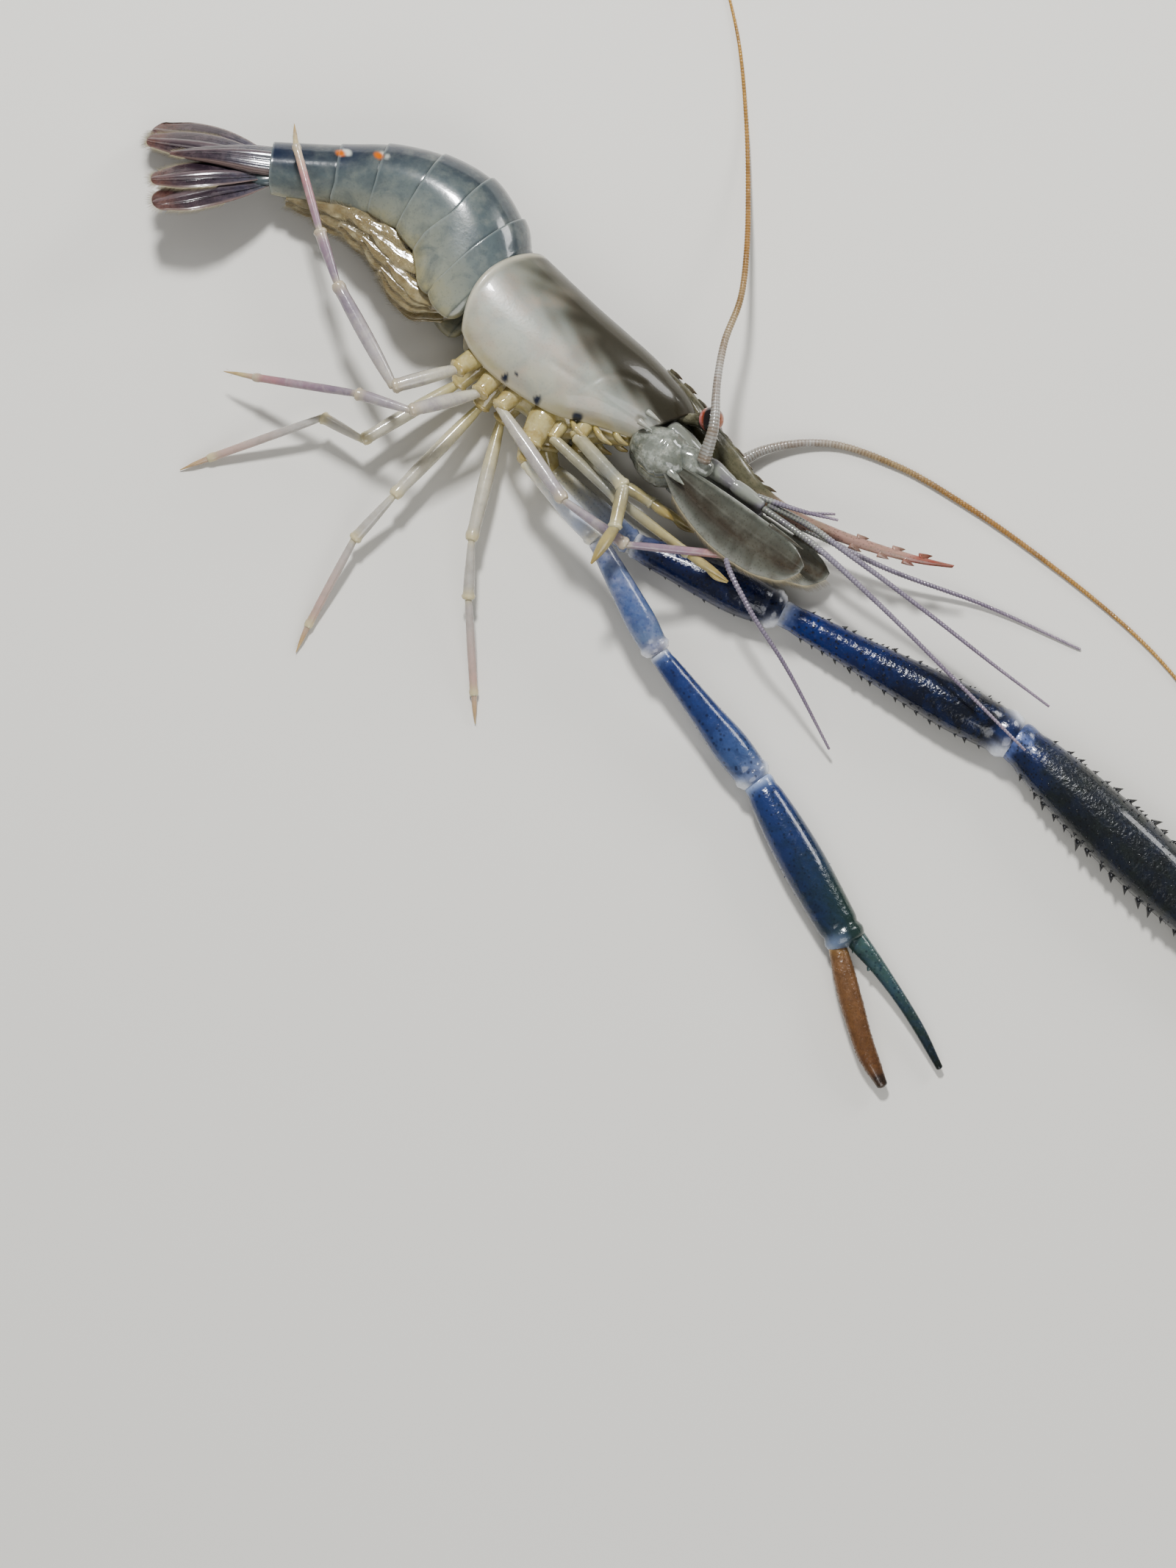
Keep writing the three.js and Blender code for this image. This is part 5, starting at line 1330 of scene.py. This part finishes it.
def make_underside():
    forms = [rod(flanked(THORAX_PATH, 1), [4.5, 6.4, 7.4, 7.8, 7.4, 6, 4], depth=0.66,
                 up=np.array([0, 1, 0.001]), steps=90, sides=56, ripple=thorax_ripple)]
    rows = [(HIPS[LEG_HIPS[name[-1]]], joints[0], 2) for name, joints in LEGS.items()]
    rows += [(HIPS["maxilliped" if "maxilliped" in leg else "first"], joints[0], width)
             for leg, (joints, width) in FEEDERS.items()]
    rows += [(HIPS["second"], root, width) for root, _, width in ARM_ROOTS]
    for x, root, width in rows:
        flank = 1 if root[2] > MIDLINE_HEIGHT else -1
        hip = flanked([(x, -11.5 if x == HIPS["maxilliped"] else -15, 4.2)], flank)[0]
        widths = [width * 1.3, width * 1.45, width * 1.3, width * 1.15]
        forms.append(
            limb_length(hip, np.array(root), widths, depth=1.0, sides=28, steps=36, knob=0.15))
    forms += [rod([first, last], [width * 1.05, width, width * 0.95], steps=16, sides=28)
              for first, last, width in ARM_ROOTS]
    for flank in FLANKS.values():
        for x, y, out, long in MOUTH_LOBES:
            lobe = [(x, y, out), (x + long * 0.6, y - 1.2, out * 1.1), (x + long, y - 0.8, out)]
            forms.append(rod(flanked(lobe, flank), [1.4, 2.0, 1.6, 0.7], depth=0.5,
                             up=np.array([0.1, 1, 0]), steps=20, sides=20))
    add_piece("thorax_skin", joined(forms), "underside_skin", "underside", ["thorax_underside"])


def add_fringe(name, rows, slot, disorder, seed, sizes, share=1.0):
    """Bristles of the length that the sizes give, or a share of it."""
    add_bristles(name, rows, "bristle_hair", slot, Disorder=disorder, Seed=seed,
                 **{"Length": sizes.bristle_length * share, "Root radius": sizes.bristle_radius})


# One operator for each group of pieces.
class BuildMaterials(bpy.types.Operator):
    """Makes the materials of the prawn"""
    bl_idname = "prawn.materials"
    bl_label = "Materials"

    def execute(self, context):
        make_materials(context.scene.prawn_colours)
        return {"FINISHED"}


class BuildBody(bpy.types.Operator):
    """Builds the head shell, rostrum and skin under the thorax"""
    bl_idname = "prawn.body"
    bl_label = "Head shell"

    def execute(self, context):
        make_carapace()
        make_rostrum()
        make_underside()
        return {"FINISHED"}


class BuildTail(bpy.types.Operator):
    """Builds the rings of the abdomen, its swimming legs and the tail fan"""
    bl_idname = "prawn.tail"
    bl_label = "Abdomen and tail fan"

    def execute(self, context):
        sizes = context.scene.prawn_sizes
        make_abdomen()
        add_fringe("swimming_leg_fringe", make_pleopods(), "underside", 0.15, 3, sizes)
        add_fringe("tail_fan_fringe", make_tail_fan(), "tail_fan", 0.08, 4, sizes)
        return {"FINISHED"}


class BuildHead(bpy.types.Operator):
    """Builds the eyes, feelers and scales"""
    bl_idname = "prawn.head"
    bl_label = "Eyes and feelers"

    def execute(self, context):
        sizes = context.scene.prawn_sizes
        make_eyes(sizes)
        make_antennae(sizes)
        make_antennules(sizes)
        add_fringe("scale_fringe", make_scales(), "scale", 0.06, 5, sizes)
        return {"FINISHED"}


class BuildArms(bpy.types.Operator):
    """Builds the two arms with their claws, spines and velvet"""
    bl_idname = "prawn.arms"
    bl_label = "Arms"

    def execute(self, context):
        sizes = context.scene.prawn_sizes
        rows, velvet = make_arms()
        for side, material in (("left", "dark_spine_cuticle"), ("right", "blue_spine_cuticle")):
            add_bristles(f"{side}_arm_spines", rows[side], material, f"{side}_arm_shell",
                         Disorder=0.12, Sides=7, Seed=7,
                         **{"Length": sizes.spine_length, "Root radius": sizes.spine_length * 0.36})
        add_bristles("velvet_hairs", velvet, "velvet_hair", "velvet_finger", Disorder=0.4, Seed=9,
                     **{"Length": sizes.velvet_length, "Root radius": sizes.bristle_radius})
        return {"FINISHED"}


class BuildLegs(bpy.types.Operator):
    """Builds the walking and feeding legs"""
    bl_idname = "prawn.legs"
    bl_label = "Legs"

    def execute(self, context):
        sizes = context.scene.prawn_sizes
        add_fringe("leg_tufts", make_legs(), "leg_shell", 0.25, 13, sizes, share=1.3)
        return {"FINISHED"}


class BuildStage(bpy.types.Operator):
    """Sets the floor, lights and camera"""
    bl_idname = "prawn.stage"
    bl_label = "Stage"

    def execute(self, context):
        make_stage()
        return {"FINISHED"}


# The photo looks nearly straight down, with the head towards the lower right of the frame.
VIEW_TURN = 40 * DEGREE
VIEW_TILT = 80 * DEGREE
VIEW_TARGET = np.array([97.3, -83.5, 6.0])
VIEW_DISTANCE = 1400.0
FRAME_HEIGHT = 405.3
SENSOR_HEIGHT = 24
FLOOR_REACH = 3.0
SKY_STRENGTH = 0.36
# Each lamp: name, place in metres, size in metres and power in watts.
LAMPS = [("key", (-0.5, 0.35, 0.95), 0.14, 11.0), ("fill", (0.7, -0.6, 0.8), 0.8, 5.0),
         ("edge", (0.2, 0.9, 0.45), 0.3, 2.5)]


def make_stage():
    scene = bpy.context.scene
    scene.view_settings.view_transform = "AgX"
    scene.view_settings.look = "AgX - Medium High Contrast"
    corners = [(x * FLOOR_REACH, y * FLOOR_REACH, 0)
               for x, y in ((-1, -1), (1, -1), (1, 1), (-1, 1))]
    floor = bpy.data.objects.new("pale_floor", bpy.data.meshes.new("pale_floor"))
    floor.data.from_pydata(corners, [], [(0, 1, 2, 3)])
    scene.collection.objects.link(floor)
    # Matt painted board, plain so that nothing competes with the prawn.
    board = bpy.data.materials.new("matt_painted_board")
    board.use_nodes = True
    shader = board.node_tree.nodes["Principled BSDF"]
    shader.inputs["Base Color"].default_value = (*linear("#DCDAD4"), 1)
    shader.inputs["Roughness"].default_value = 0.7
    floor.data.materials.append(board)
    scene.world = bpy.data.worlds.new("soft_studio")
    scene.world.use_nodes = True
    sky = scene.world.node_tree.nodes["Background"].inputs
    sky["Color"].default_value = (*linear("#E2E3E4"), 1)
    sky["Strength"].default_value = SKY_STRENGTH
    for name, place, size, power in LAMPS:
        lamp = bpy.data.lights.new(name, "AREA")
        lamp.size = size
        lamp.energy = power
        light = bpy.data.objects.new(name, lamp)
        light.location = place
        tilt = math.atan2(math.hypot(place[0], place[1]), place[2])
        light.rotation_euler = (tilt, 0, math.atan2(-place[1], -place[0]) - math.pi / 2)
        scene.collection.objects.link(light)
    camera = bpy.data.objects.new("camera", bpy.data.cameras.new("camera"))
    level = math.cos(VIEW_TILT)
    away = np.array([
        math.sin(VIEW_TURN) * level, -math.cos(VIEW_TURN) * level, math.sin(VIEW_TILT)])
    camera.location = (VIEW_TARGET - FRAME_MIDDLE + away * VIEW_DISTANCE) * MM
    camera.rotation_euler = (math.pi / 2 - VIEW_TILT, 0, VIEW_TURN)
    camera.data.sensor_fit = "VERTICAL"
    camera.data.sensor_height = SENSOR_HEIGHT
    camera.data.lens = SENSOR_HEIGHT * VIEW_DISTANCE / FRAME_HEIGHT
    scene.collection.objects.link(camera)
    scene.camera = camera


class PrawnPanel(bpy.types.Panel):
    """Lists the steps of the prawn"""
    bl_idname = "VIEW3D_PT_prawn"
    bl_label = "Giant river prawn"
    bl_space_type = "VIEW_3D"
    bl_region_type = "UI"
    bl_category = "Prawn"

    def draw(self, context):
        column = self.layout.column()
        for step in STEPS:
            column.operator(step.bl_idname)
        for group in (context.scene.prawn_sizes, context.scene.prawn_colours):
            for name in group.__annotations__:
                column.prop(group, name)


STEPS = (BuildMaterials, BuildBody, BuildTail, BuildHead, BuildArms, BuildLegs, BuildStage)
CLASSES = (PrawnSizes, PrawnColours, *STEPS, PrawnPanel)


def register():
    for one in CLASSES:
        bpy.utils.register_class(one)
    bpy.types.Scene.prawn_sizes = bpy.props.PointerProperty(type=PrawnSizes)
    bpy.types.Scene.prawn_colours = bpy.props.PointerProperty(type=PrawnColours)


def unregister():
    del bpy.types.Scene.prawn_colours
    del bpy.types.Scene.prawn_sizes
    for one in reversed(CLASSES):
        bpy.utils.unregister_class(one)


def main():
    register()
    for step in STEPS:
        group, name = step.bl_idname.split(".")
        getattr(getattr(bpy.ops, group), name)()


if __name__ == "__main__":
    main()
